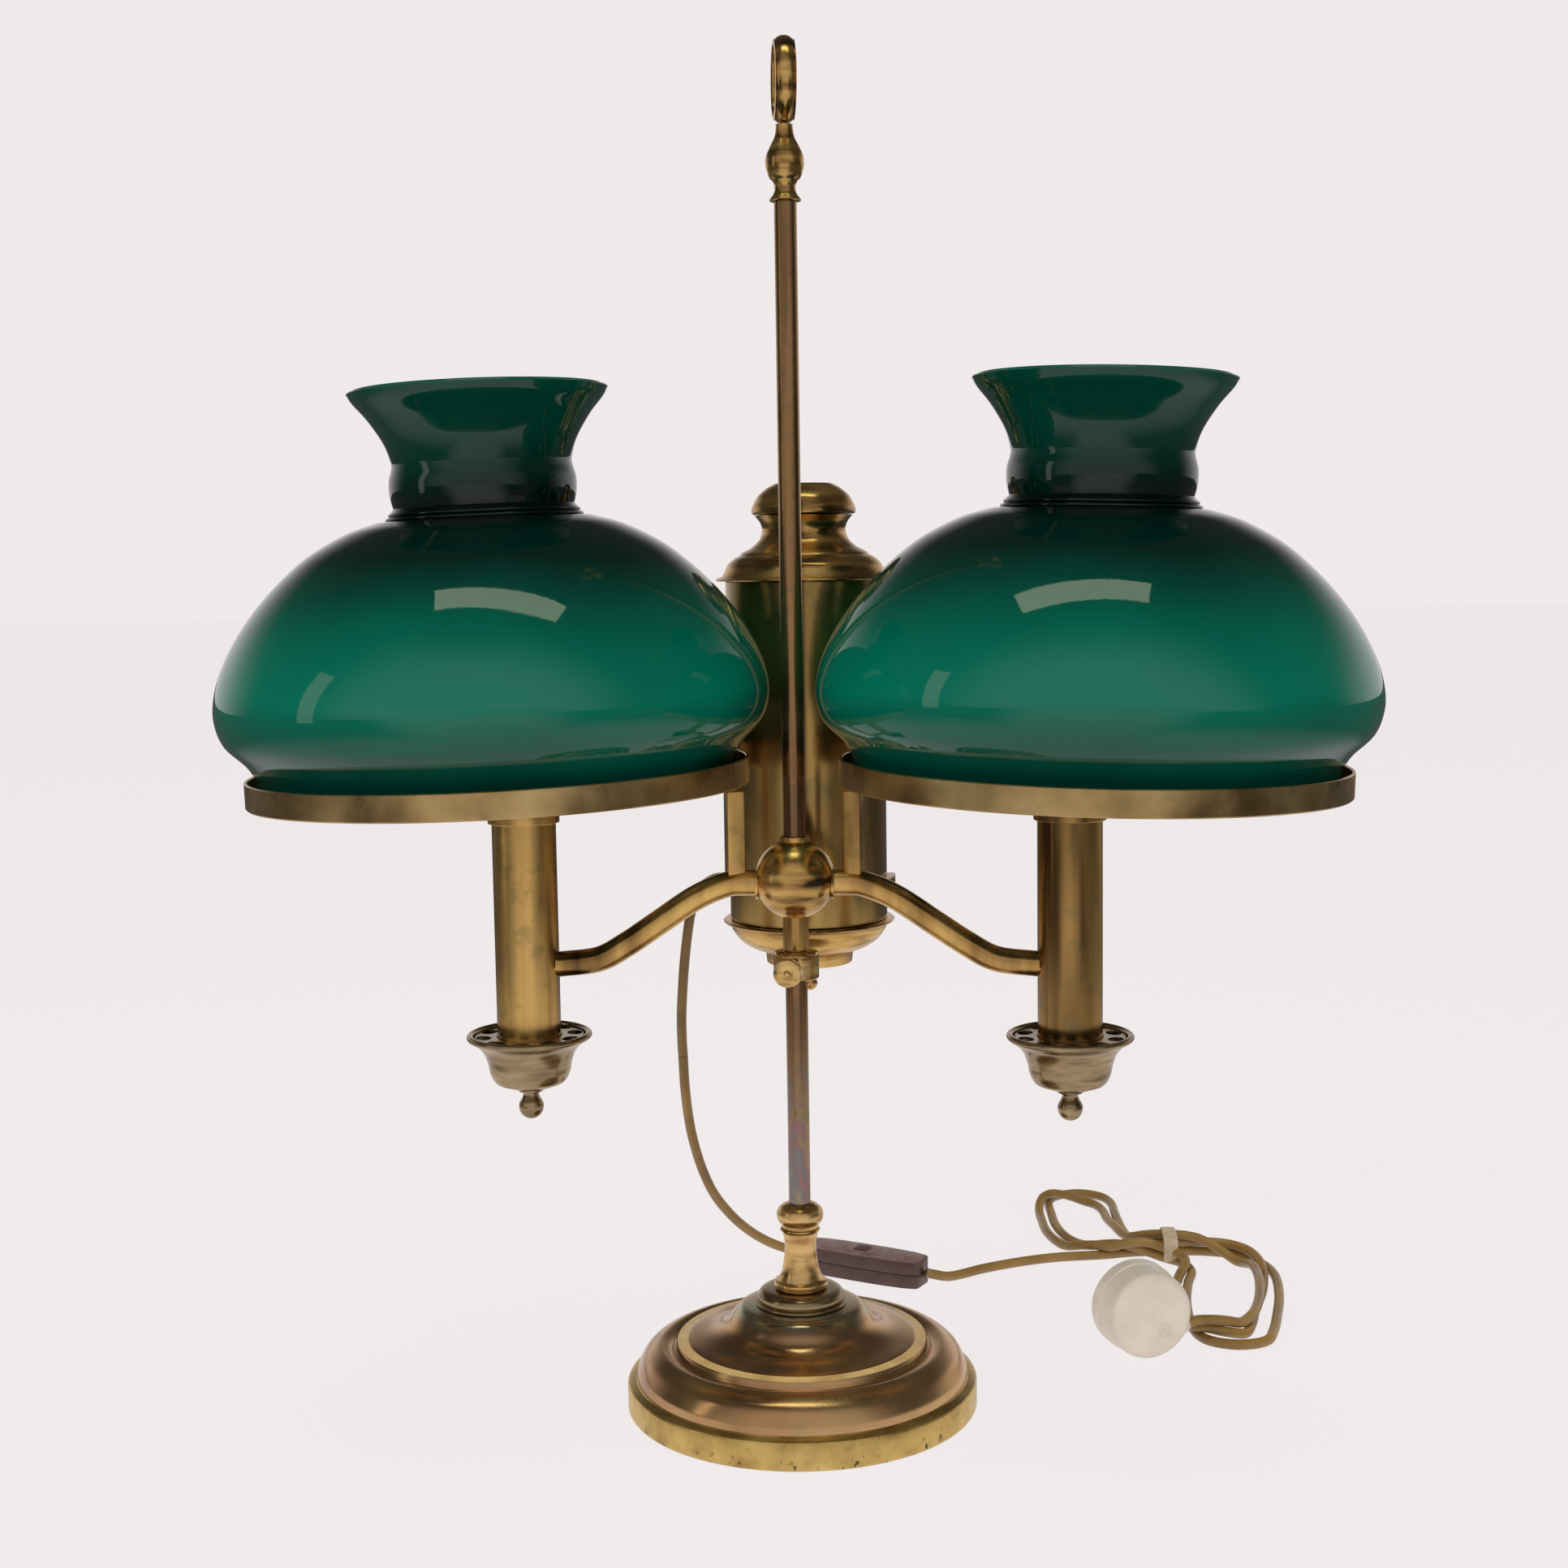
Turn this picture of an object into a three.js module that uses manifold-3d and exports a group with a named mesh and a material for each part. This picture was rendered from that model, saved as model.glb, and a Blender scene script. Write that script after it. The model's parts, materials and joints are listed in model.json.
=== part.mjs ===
// Two-arm student lamp on a round weighted base, in millimetres with +Z up.
// The origin is on the floor, on the axis of the upright rod. The arms lie along X,
// the tank stands behind the rod at +Y, and the front is towards -Y.
import * as THREE from 'three';
import { mergeVertices } from 'three/addons/utils/BufferGeometryUtils.js';
import Module from 'manifold-3d';

const wasm = await Module();
wasm.setup();

// ---- Driving dimensions -------------------------------------------------------------

const GAP = 0.3;                 // clearance between pieces that touch
const SHEET = 1.2;               // thickness of the spun and drawn brass
const BASE_R = 92;
const ROD_R = 5.7;
const ROD_TAIL_R = 4.7;          // the reduced lower end, clamped by the nut
const STEM_TOP_Z = 109;
const ROD_TOP_Z = 620.6;
const HUB_Z = 279;               // centre of the hub ball
const HUB_R = 20.9;
const SLEEVE_R = 6.65;
const SLEEVE_BORE_R = 6;
const COLLAR_Z = 227;
const COLLAR_TOP_Z = 241.5;
const COLLAR_R = 11.8;
const SCREW_Z = 233.5;
const ARM_R = 6.65;
const ARM_LEVEL_Z = 234.5;       // where the arm meets the burner tube
const BURNER_X = 141;
const BURNER_R = 16.65;
const BURNER_WALL = 1.2;
const BURNER_TOP_Z = 318;
const CUP_RIM_Z = 198;
const RING_X = 152.4;             // centre of the shade and of the ring that holds it
const RING_R = 129.3;
const RING_Z = 325;
const RING_TOP_Z = 338.5;
const RING_WALL = 1.5;
const RING_LIP_R = 119;
const GLASS = 3.5;
const SHADE_BOTTOM_Z = 326.5;
const RING_LEAN = THREE.MathUtils.degToRad(1.7);   // each ring and its shade lean outwards
const POST_X = 31;
const POST_WIDTH = 9.1;
const POST_TURN = THREE.MathUtils.degToRad(18);
const TANK_Y = 110;
const TANK_R = 44.4;
const TANK_BOTTOM_Z = 240.9;
const TANK_TOP_Z = 430.8;
const SADDLE_Z = 262.3;
const CORD_R = 2.9;
const SIDES = [['left', -1], ['right', 1]];
const ROUND = 20;                // facets round most turned pieces
const FINE = 24;                 // facets round a shade and its ring
const SMALL = 12;                // facets round a slim piece
const TINY = 10;                 // facets round a bar or a small bore

// ---- Materials ----------------------------------------------------------------------

function finish(color, roughness, metalness) {
  return new THREE.MeshStandardMaterial({ color, roughness, metalness });
}

const agedBrass = finish(0x8a6a38, 0.35, 1);
const brightBrass = finish(0xc09a4e, 0.3, 1);
const darkBrass = finish(0x6a5236, 0.4, 1);
const greenGlass = finish(0x0a5a3c, 0.08, 0);
const whiteGlass = finish(0xf0eee6, 0.3, 0);
const castIron = finish(0x3a3836, 0.8, 0.8);
const greenFelt = finish(0x2c4a36, 1, 0);
const steel = finish(0x9a9a98, 0.4, 1);
const porcelain = finish(0xe8e4da, 0.4, 0);
const brownPlastic = finish(0x3c2420, 0.4, 0);
const cordSheath = finish(0x8c6a38, 0.5, 0);
const whitePlastic = finish(0xe8e2d8, 0.4, 0);
const tieBand = finish(0xcbb48a, 0.6, 0);

// ---- Shape helpers ------------------------------------------------------------------

const lamp = new THREE.Group();
lamp.name = 'student_lamp';

function part(name, geometry, material, parent = lamp) {
  const mesh = new THREE.Mesh(geometry, material);
  mesh.name = name;
  parent.add(mesh);
  return mesh;
}

function outline(pairs) {
  return pairs.map(([x, y]) => new THREE.Vector2(x, y));
}

// A smooth outline through a few radius and height pairs.
function curved(pairs, steps) {
  return new THREE.SplineCurve(outline(pairs)).getPoints(steps);
}

// An arc of an outline about a centre, from one angle to another in degrees.
function arc(centreR, centreZ, radius, fromAngle, toAngle, steps) {
  const points = [];
  for (let i = 0; i <= steps; i += 1) {
    const angle = THREE.MathUtils.degToRad(fromAngle + ((toAngle - fromAngle) * i) / steps);
    points.push(new THREE.Vector2(centreR + radius * Math.cos(angle), centreZ + radius * Math.sin(angle)));
  }
  return points;
}

// Turns an outline about Z. The outline runs up the outside, and ends on the axis.
function turned(points, segments = ROUND) {
  const geometry = new THREE.LatheGeometry(points, segments);
  geometry.rotateX(Math.PI / 2);
  return geometry;
}

// Turns a closed outline about Z: up the outside and down the inside.
function turnedRing(points, segments = ROUND) {
  return turned([...points, points[0].clone()], segments);
}

function tube(innerR, outerR, bottomZ, topZ, segments = ROUND) {
  return turnedRing(outline([[innerR, bottomZ], [outerR, bottomZ], [outerR, topZ], [innerR, topZ]]), segments);
}

// A thin shell: its outer outline, and the same outline moved in by the wall.
function shellOutline(outer, wall) {
  const inner = outer.map((point, i) => {
    const before = outer[Math.max(i - 1, 0)];
    const after = outer[Math.min(i + 1, outer.length - 1)];
    const along = after.clone().sub(before).normalize();
    return new THREE.Vector2(point.x - along.y * wall, point.y + along.x * wall);
  });
  return [...outer, ...inner.reverse()];
}

function ringPoints(radius, sides) {
  const points = [];
  for (let i = 0; i < sides; i += 1) {
    const angle = (2 * Math.PI * i) / sides;
    points.push(new THREE.Vector2(radius * Math.cos(angle), radius * Math.sin(angle)));
  }
  return points;
}

function roundSection(radius, sides) {
  return new THREE.Shape(ringPoints(radius, sides));
}

function pathThrough(points) {
  return new THREE.CatmullRomCurve3(points.map(([x, y, z]) => new THREE.Vector3(x, y, z)));
}

function bar(path, radius, sides, steps) {
  const settings = { steps, extrudePath: path, bevelEnabled: false };
  return new THREE.ExtrudeGeometry(roundSection(radius, sides), settings);
}

function slab(shape, depth, bottomZ) {
  const geometry = new THREE.ExtrudeGeometry(shape, { depth, bevelEnabled: false, curveSegments: 8 });
  geometry.translate(0, 0, bottomZ);
  return geometry;
}

function box(width, depth, height, x, y, z) {
  const geometry = new THREE.BoxGeometry(width, depth, height);
  geometry.translate(x, y, z);
  return geometry;
}

function rod(radius, length, segments, direction, centre) {
  const geometry = new THREE.CylinderGeometry(radius, radius, length, segments);
  const up = new THREE.Vector3(0, 1, 0);
  geometry.applyQuaternion(new THREE.Quaternion().setFromUnitVectors(up, direction.clone().normalize()));
  geometry.translate(centre.x, centre.y, centre.z);
  return geometry;
}

function solid(geometry) {
  const bare = geometry.clone();
  bare.deleteAttribute('normal');
  bare.deleteAttribute('uv');
  const merged = mergeVertices(bare, 1e-4);
  const vertProperties = new Float32Array(merged.attributes.position.array);
  const triVerts = new Uint32Array(merged.index.array);
  const mesh = new wasm.Mesh({ numProp: 3, vertProperties, triVerts });
  mesh.merge();
  return new wasm.Manifold(mesh);
}

function fromSolid(manifold) {
  const mesh = manifold.getMesh();
  const geometry = new THREE.BufferGeometry();
  geometry.setAttribute('position', new THREE.BufferAttribute(new Float32Array(mesh.vertProperties), 3));
  geometry.setIndex(new THREE.BufferAttribute(new Uint32Array(mesh.triVerts), 1));
  geometry.computeVertexNormals();
  return geometry;
}

function cut(geometry, ...cutters) {
  return fromSolid(cutters.reduce((whole, cutter) => whole.subtract(solid(cutter)), solid(geometry)));
}

function joined(geometry, ...others) {
  return fromSolid(others.reduce((whole, other) => whole.add(solid(other)), solid(geometry)));
}

// ---- Base and stem ------------------------------------------------------------------

const SHELL_TOP_Z = 53.6;
const STEM_BORE_R = ROD_TAIL_R + GAP;
const WEIGHT_BOTTOM_Z = 2.6;
const WEIGHT_RECESS_R = 18;
const WEIGHT_RECESS_Z = 12;
const NUT_R = 9;
const FELT_R = 88;
const FELT_SIDES = 21;
const FELT_TOP_Z = 2.2;

function baseShell() {
  const skirt = outline([[BASE_R, 0], [BASE_R, 13.4], [87.4, 15.6]]);
  const torus = curved([[86.6, 17.2], [85.8, 22], [82, 28.4], [75.5, 32.6], [67.6, 31]], 4);
  const step = outline([[65.4, 35.2]]);
  const bell = curved([[58, 36.6], [46, 39], [38.6, 44], [34.4, 50.4], [28, SHELL_TOP_Z]], 4);
  const outer = [...skirt, ...torus, ...step, ...bell, new THREE.Vector2(STEM_BORE_R, SHELL_TOP_Z)];
  return turnedRing(shellOutline(outer, SHEET));
}

function baseWeight() {
  return turnedRing(outline([
    [WEIGHT_RECESS_R, WEIGHT_BOTTOM_Z], [84, WEIGHT_BOTTOM_Z], [84, 19], [76, 27], [62, 29], [40, 36],
    [30, 46], [STEM_BORE_R, 46], [STEM_BORE_R, WEIGHT_RECESS_Z], [WEIGHT_RECESS_R, WEIGHT_RECESS_Z],
  ]));
}

function rodNut() {
  const shape = roundSection(NUT_R, 6);
  shape.holes.push(new THREE.Path(ringPoints(STEM_BORE_R, SMALL)));
  return slab(shape, 6, 3.2);
}

function stemSeat() {
  const bead = arc(18.6, 57.4, 4.1, -56, 66, 4);
  return turnedRing([
    ...outline([[STEM_BORE_R, SHELL_TOP_Z + GAP], [23.8, SHELL_TOP_Z + GAP], [23.8, 54.7]]),
    ...bead, ...outline([[17, 61.6], [STEM_BORE_R, 61.6]]),
  ]);
}

function stemFoot() {
  const foot = outline([[STEM_BORE_R, 61.9], [13.6, 61.9], [14, 65], [12.8, 65.8]]);
  const neck = curved([[11.6, 67.4], [9.6, 72], [8.5, 79], [8.3, 86], [9.6, 92.4]], 4);
  const bulb = arc(6.4, 101, 5.9, -58, 74, 4);
  return turnedRing([
    ...foot, ...neck, new THREE.Vector2(10.4, 94.2), ...bulb,
    ...outline([[ROD_R + 0.6, STEM_TOP_Z - 1.8], [STEM_BORE_R, STEM_TOP_Z - 1.8]]),
  ], SMALL);
}

part('base_shell', baseShell(), agedBrass);
part('base_weight', baseWeight(), castIron);
part('base_felt', slab(roundSection(FELT_R, FELT_SIDES), FELT_TOP_Z, 0), greenFelt);
part('rod_nut', rodNut(), steel);
part('rod_washer', tube(STEM_BORE_R, 13, 9.5, 11.5, SMALL), steel);
part('stem_seat', stemSeat(), darkBrass);
part('stem_foot', stemFoot(), brightBrass);

// ---- Upright rod with its carrying ring ---------------------------------------------

const ROD_STUD_R = 2.8;
const FINIAL_BORE_R = ROD_STUD_R + GAP;
const HANDLE_Z = 680;
const HANDLE_R = 21.3;
const HANDLE_TURN = THREE.MathUtils.degToRad(8);

function uprightRod() {
  return turned(outline([
    [0, 4], [ROD_TAIL_R, 4], [ROD_TAIL_R, STEM_TOP_Z - 1.5], [ROD_R, STEM_TOP_Z - 1.5], [ROD_R, ROD_TOP_Z],
    [ROD_STUD_R, ROD_TOP_Z], [ROD_STUD_R, ROD_TOP_Z + 12], [0, ROD_TOP_Z + 12],
  ]), SMALL);
}

function finial() {
  const bottom = ROD_TOP_Z + GAP;
  const flange = outline([[FINIAL_BORE_R, bottom], [8, bottom], [7, bottom + 2]]);
  const waist = outline([[5.4, 626.4], [6.6, 631.2]]);
  const ball = curved([[8.8, 634.4], [9.8, 640], [8.6, 645.4], [6.2, 649.6], [4.6, 653.4], [4.25, 658.3]], 6);
  return turned([
    new THREE.Vector2(0, ROD_TOP_Z + 12.4), new THREE.Vector2(FINIAL_BORE_R, ROD_TOP_Z + 12.4),
    ...flange, ...waist, ...ball, new THREE.Vector2(0, 658.3),
  ], SMALL);
}

// A flat band bent into a ring, with a rounded outer face. Its axis lies along X.
function ringHandle() {
  const band = turnedRing([new THREE.Vector2(16.6, -4.6), ...arc(15.4, 0, HANDLE_R - 15.4, -66, 66, 4),
    new THREE.Vector2(16.6, 4.6)]);
  band.rotateY(Math.PI / 2);
  band.rotateZ(HANDLE_TURN);
  band.translate(0, 0, HANDLE_Z);
  return band;
}

part('rod', uprightRod(), agedBrass);
part('finial', finial(), agedBrass);
part('ring_handle', ringHandle(), agedBrass);

// ---- Clamp collar and thumb screw ---------------------------------------------------

const SCREW_SHANK_R = 2.6;
const SCREW_DIRECTION = new THREE.Vector3(-0.132, -0.991, 0).normalize();
const SCREW_HEAD_R = 7.5;
const SCREW_HEAD_OUT = 24.5;     // outer face of the head, from the rod's axis
const SCREW_HEAD_LENGTH = 5.5;

function alongScrew(distance) {
  return SCREW_DIRECTION.clone().multiplyScalar(distance).setZ(SCREW_Z);
}

function clampCollar() {
  const body = turnedRing([
    ...outline([[SLEEVE_BORE_R, COLLAR_Z], [COLLAR_R, COLLAR_Z], [COLLAR_R, COLLAR_TOP_Z - 2]]),
    ...outline([[COLLAR_R - 2, COLLAR_TOP_Z], [SLEEVE_BORE_R, COLLAR_TOP_Z]]),
  ]);
  return cut(body, rod(SCREW_SHANK_R + GAP, 14, TINY, SCREW_DIRECTION, alongScrew(12)));
}

function thumbScrew() {
  const inner = ROD_R + GAP;
  const shankEnd = SCREW_HEAD_OUT - SCREW_HEAD_LENGTH;
  const head = turned(outline([
    [0, inner], [SCREW_SHANK_R, inner], [SCREW_SHANK_R, shankEnd - 4], [4.2, shankEnd - 3.4], [4.6, shankEnd],
    [SCREW_HEAD_R, shankEnd + 0.4], [SCREW_HEAD_R, SCREW_HEAD_OUT - 0.8],
    [SCREW_HEAD_R - 0.8, SCREW_HEAD_OUT], [0, SCREW_HEAD_OUT],
  ]), SMALL);
  head.applyQuaternion(new THREE.Quaternion().setFromUnitVectors(new THREE.Vector3(0, 0, 1), SCREW_DIRECTION));
  head.translate(0, 0, SCREW_Z);
  return head;
}

part('clamp_collar', clampCollar(), brightBrass);
part('thumb_screw', thumbScrew(), brightBrass);

// ---- Hub: sleeve and ball -----------------------------------------------------------

const SOCKET_R = ARM_R + 2 * GAP;
const SOCKET_Z = 276.8;
const ARM_START_X = 17.3;
const SADDLE_STUB_R = 5.5;
const STUB_Z = 276.8;
const SLEEVE_TOP_Z = 268;

function hubBall() {
  const lipZ = HUB_Z + HUB_R + 1.2;
  const ball = turnedRing([
    new THREE.Vector2(SLEEVE_R + GAP, HUB_Z - HUB_R + 1.1), ...arc(0, HUB_Z, HUB_R, -69, 69, 9),
    ...outline([[7.4, lipZ - 0.6], [7, lipZ], [SLEEVE_BORE_R, lipZ], [SLEEVE_BORE_R, SLEEVE_TOP_Z + GAP],
      [SLEEVE_R + GAP, SLEEVE_TOP_Z + GAP]]),
  ]);
  const along = new THREE.Vector3(1, 0, 0);
  const sockets = SIDES.map(([, side]) => rod(SOCKET_R, 8, TINY, along, new THREE.Vector3(side * 21, 0, SOCKET_Z)));
  const rear = rod(SADDLE_STUB_R + 2 * GAP, 10, TINY, new THREE.Vector3(0, 1, 0), new THREE.Vector3(0, 20, STUB_Z));
  return cut(ball, ...sockets, rear);
}

part('hub_sleeve', tube(SLEEVE_BORE_R, SLEEVE_R, COLLAR_TOP_Z + GAP, SLEEVE_TOP_Z), agedBrass);
part('hub_ball', hubBall(), agedBrass);

// ---- Two arms, each with its post, burner, ring and shade ---------------------------

const ARM_ROUTE = [
  [ARM_START_X, SOCKET_Z], [25, SOCKET_Z], [35.5, 276], [52, 269], [72.4, 255.4], [88, 245], [103, 237],
  [122, ARM_LEVEL_Z], [131, ARM_LEVEL_Z],
];
const UP = new THREE.Vector3(0, 0, 1);

function armBar(side, radius, sides) {
  return bar(pathThrough(ARM_ROUTE.map(([x, z]) => [side * x, 0, z])), radius, sides, 14);
}

function arm(side) {
  const burner = rod(BURNER_R + GAP, 40, ROUND, UP, new THREE.Vector3(side * BURNER_X, 0, ARM_LEVEL_Z));
  return cut(armBar(side, ARM_R, TINY), burner);
}

function post(side) {
  const bottomZ = 276;
  const topZ = RING_Z + (RING_X - POST_X) * Math.tan(RING_LEAN) - 2 * GAP;
  const square = new THREE.BoxGeometry(POST_WIDTH, POST_WIDTH, topZ - bottomZ);
  square.rotateZ(-side * POST_TURN);
  square.translate(side * POST_X, 0, (topZ + bottomZ) / 2);
  return cut(square, armBar(side, SOCKET_R, TINY));
}

function burnerTube(x) {
  const geometry = tube(BURNER_R - BURNER_WALL, BURNER_R, 180, BURNER_TOP_Z);
  geometry.translate(x, 0, 0);
  return geometry;
}

const VENT_COUNT = 10;
const VENT_CIRCLE_R = 24;
const PLATE_R = 28.4;

function dripPlate(x) {
  const shape = roundSection(PLATE_R, ROUND);
  shape.holes.push(new THREE.Path(ringPoints(BURNER_R + 2 * GAP, ROUND)));
  for (let i = 0; i < VENT_COUNT; i += 1) {
    const angle = (2 * Math.PI * (i + 0.5)) / VENT_COUNT;
    const vent = ringPoints(1, 8).map((point) => (
      new THREE.Vector2(VENT_CIRCLE_R + 4 * point.x, 5.2 * point.y).rotateAround(new THREE.Vector2(), angle)
    ));
    shape.holes.push(new THREE.Path(vent));
  }
  const geometry = slab(shape, 1, CUP_RIM_Z - 2.6);
  geometry.translate(x, 0, 0);
  return geometry;
}

function dripCup(x) {
  const bowl = outline([[3, 169.2], [12.3, 169.5], [18, 171.8], [20.8, 177], [23.7, 187.4], [31, 194.4]]);
  const bead = arc(31, 196.4, 1.7, -50, 180, 3);
  const inside = outline([[29.2, 194.7], [22.4, 187.6], [19.4, 177.4], [17, 172.8], [3, 170.5]]);
  const geometry = turnedRing([...bowl, ...bead, ...inside]);
  geometry.translate(x, 0, 0);
  return geometry;
}

function cupFinial(x) {
  const geometry = turned([
    new THREE.Vector2(0, 151.9), ...arc(0, 158.4, 6.5, -70, 44, 4),
    ...outline([[4.5, 166], [6.6, 167.4], [6.6, 168.8], [2.6, 168.8], [2.6, 173], [0, 173]]),
  ], TINY);
  geometry.translate(x, 0, 0);
  return geometry;
}

// A frame that leans outwards about the middle of a ring's underside.
function leaning(side) {
  const frame = new THREE.Group();
  frame.position.set(side * RING_X, 0, RING_Z);
  frame.rotation.y = side * RING_LEAN;
  lamp.add(frame);
  return frame;
}

function shadeRing() {
  const geometry = turnedRing(outline([
    [RING_LIP_R, RING_Z], [RING_R, RING_Z], [RING_R, RING_TOP_Z], [RING_R - RING_WALL, RING_TOP_Z],
    [RING_R - RING_WALL, RING_Z + SHEET], [RING_LIP_R, RING_Z + SHEET],
  ]), FINE);
  geometry.translate(0, 0, -RING_Z);
  return geometry;
}

// A hub on the burner tube, with three flat legs that reach out to the lip of the ring.
const SPIDER_HUB_R = 18.6;
const SPIDER_HUB_BOTTOM_Z = 309;
const LEG_END_R = 116.8;
const LEG_WIDTH = 8;
const LEG_HEIGHT = 3;

function ringSpider(side) {
  const startR = SPIDER_HUB_R - 0.8;
  const hub = tube(BURNER_R + GAP, SPIDER_HUB_R, SPIDER_HUB_BOTTOM_Z, RING_Z + LEG_HEIGHT + 1);
  hub.translate(side * BURNER_X, 0, 0);
  const legs = [90, 212, 328].map((degrees) => {
    const angle = THREE.MathUtils.degToRad(degrees);
    const startX = side * (BURNER_X - RING_X) + startR * Math.cos(angle);
    const startY = startR * Math.sin(angle);
    const endX = LEG_END_R * Math.cos(angle);
    const endY = LEG_END_R * Math.sin(angle);
    const leg = new THREE.BoxGeometry(Math.hypot(endX - startX, endY - startY), LEG_WIDTH, LEG_HEIGHT);
    leg.rotateZ(Math.atan2(endY - startY, endX - startX));
    leg.translate((startX + endX) / 2, (startY + endY) / 2, LEG_HEIGHT / 2);
    leg.rotateY(side * RING_LEAN);
    leg.translate(side * RING_X, 0, RING_Z);
    return leg;
  });
  return joined(hub, ...legs);
}

function lampHolder(x) {
  const bottom = BURNER_TOP_Z + GAP;
  const geometry = turnedRing(outline([
    [9, bottom], [BURNER_R, bottom], [BURNER_R, bottom + 3], [14.8, bottom + 4], [14.8, 351.5], [13, 351.5],
    [13, bottom + 8], [9, bottom + 8],
  ]), SMALL);
  geometry.translate(x, 0, 0);
  return geometry;
}

function bulb(x) {
  const cap = outline([[0, 331], [12.4, 333], [12.4, 352]]);
  const glass = curved([[14, 356], [20, 372], [28.6, 392], [30, 408], [24, 426], [12, 435.4]], 5);
  const geometry = turned([...cap, ...glass, new THREE.Vector2(0, 437)], SMALL);
  geometry.translate(x, 0, 0);
  return geometry;
}

const SHADE_OUTLINE = [
  [122.6, SHADE_BOTTOM_Z], [123, 339], [127.6, 347], [137.8, 357.6], [141.8, 370], [141, 382], [136.6, 395.5],
  [127.6, 412], [115.4, 427.8], [101.6, 441.4], [88.4, 451.6], [70.5, 461.2], [54.5, 467.2],
];
const NECK_OUTLINE = [
  [45.8, 470], [47.4, 478], [47.6, 486], [46.2, 495], [49.4, 506], [56.6, 517.6], [63.4, 526], [66.3, 530.4],
];

function shade() {
  const outer = [...curved(SHADE_OUTLINE, 8), ...curved(NECK_OUTLINE, 4)];
  const geometry = turnedRing(shellOutline(outer, GLASS), FINE);
  geometry.translate(0, 0, -RING_Z);
  return geometry;
}

for (const [name, side] of SIDES) {
  const burnerX = side * BURNER_X;
  const ringFrame = leaning(side);
  part(`arm_${name}`, arm(side), agedBrass);
  part(`post_${name}`, post(side), agedBrass);
  part(`burner_tube_${name}`, burnerTube(burnerX), agedBrass);
  part(`drip_plate_${name}`, dripPlate(burnerX), darkBrass);
  part(`drip_cup_${name}`, dripCup(burnerX), darkBrass);
  part(`cup_finial_${name}`, cupFinial(burnerX), darkBrass);
  part(`shade_ring_${name}`, shadeRing(), agedBrass, ringFrame);
  part(`ring_spider_${name}`, ringSpider(side), agedBrass);
  part(`lamp_holder_${name}`, lampHolder(burnerX), porcelain);
  part(`bulb_${name}`, bulb(burnerX), whiteGlass);
  part(`shade_${name}`, shade(), greenGlass, ringFrame);
}

// ---- Tank behind the rod ------------------------------------------------------------

const GLAND_ANGLE = THREE.MathUtils.degToRad(155);
const GLAND_DIRECTION = new THREE.Vector3(Math.cos(GLAND_ANGLE), Math.sin(GLAND_ANGLE), 0);
const GLAND_Z = 259.6;
const GLAND_R = 4.6;
const tank = new THREE.Group();
tank.position.set(0, TANK_Y, 0);
lamp.add(tank);

function alongGland(distance) {
  return GLAND_DIRECTION.clone().multiplyScalar(distance).setZ(GLAND_Z);
}

function tankShell() {
  const wall = tube(TANK_R - SHEET, TANK_R, TANK_BOTTOM_Z, TANK_TOP_Z);
  return cut(wall, rod(GLAND_R + GAP, 12, TINY, GLAND_DIRECTION, alongGland(TANK_R)));
}

function tankBottom() {
  const outer = [
    ...outline([[2.9, 214.8], [24, 215], [24.8, 221.4]]),
    ...curved([[27, 222.4], [33, 224.6], [39.2, 228.8], [43.4, 234.4], [44.6, 237.8]], 4), ...outline([[48.5, 239.4]]),
  ];
  const inner = outline([[42.9, 240.6], [41.6, 235], [37.8, 230.2], [32, 226.2], [23.4, 223.2], [23.4, 216.6],
    [2.9, 216.4]]);
  return turnedRing([...outer, ...inner]);
}

function tankKnob() {
  return turned([
    new THREE.Vector2(0, 198.2), ...arc(0, 202.5, 4.3, -66, 48, 4), ...outline([[2.7, 211], [6.2, 213], [6.2, 214.5],
      [2.4, 214.5], [2.4, 220], [0, 220]]),
  ], TINY);
}

// A cradle round the front of the tank, open at the rear, with the bar that carries it from the hub.
function tankSaddle() {
  const band = tube(TANK_R + GAP, 49.2, SADDLE_Z - 2.5, SADDLE_Z + 2.5);
  const rearOpening = box(120, 60, 12, 0, 36, SADDLE_Z);
  const bracket = bar(pathThrough([
    [0, 16 - TANK_Y, STUB_Z], [0, 24 - TANK_Y, STUB_Z], [0, 40 - TANK_Y, STUB_Z - 4.6], [0, -TANK_R - 8, SADDLE_Z + 1],
    [0, -TANK_R - 1.6, SADDLE_Z],
  ]), SADDLE_STUB_R, TINY, 8);
  return joined(cut(band, rearOpening), bracket);
}

function cordGland() {
  const bush = tube(CORD_R + GAP, GLAND_R, 0, 7.5, TINY);
  bush.applyQuaternion(new THREE.Quaternion().setFromUnitVectors(UP, GLAND_DIRECTION));
  const start = alongGland(TANK_R - 2.5);
  bush.translate(start.x, start.y, start.z);
  return bush;
}

function tankCover() {
  const skirtR = TANK_R - SHEET - GAP;
  const restZ = TANK_TOP_Z + GAP;
  const outer = [
    ...outline([[skirtR - SHEET, restZ - 7], [skirtR, restZ - 7], [skirtR, restZ], [49.6, restZ], [49.6, restZ + 1.4]]),
    ...curved([[45.8, 433.6], [43.4, 439.4], [39.2, 443.4], [35.9, 445.4]], 3),
    ...curved([[35, 446.4], [28.9, 449.8], [24.6, 454.2], [23.4, 459], [24.4, 463.4], [27.5, 467.3]], 5),
  ];
  const inner = [
    ...outline([[25.8, 467.3], [22.8, 463], [22.1, 458], [24.1, 452.6], [34, 445], [38.8, 441.8],
      [skirtR - SHEET, 435]]),
  ];
  return turnedRing([...outer, ...inner]);
}

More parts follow.
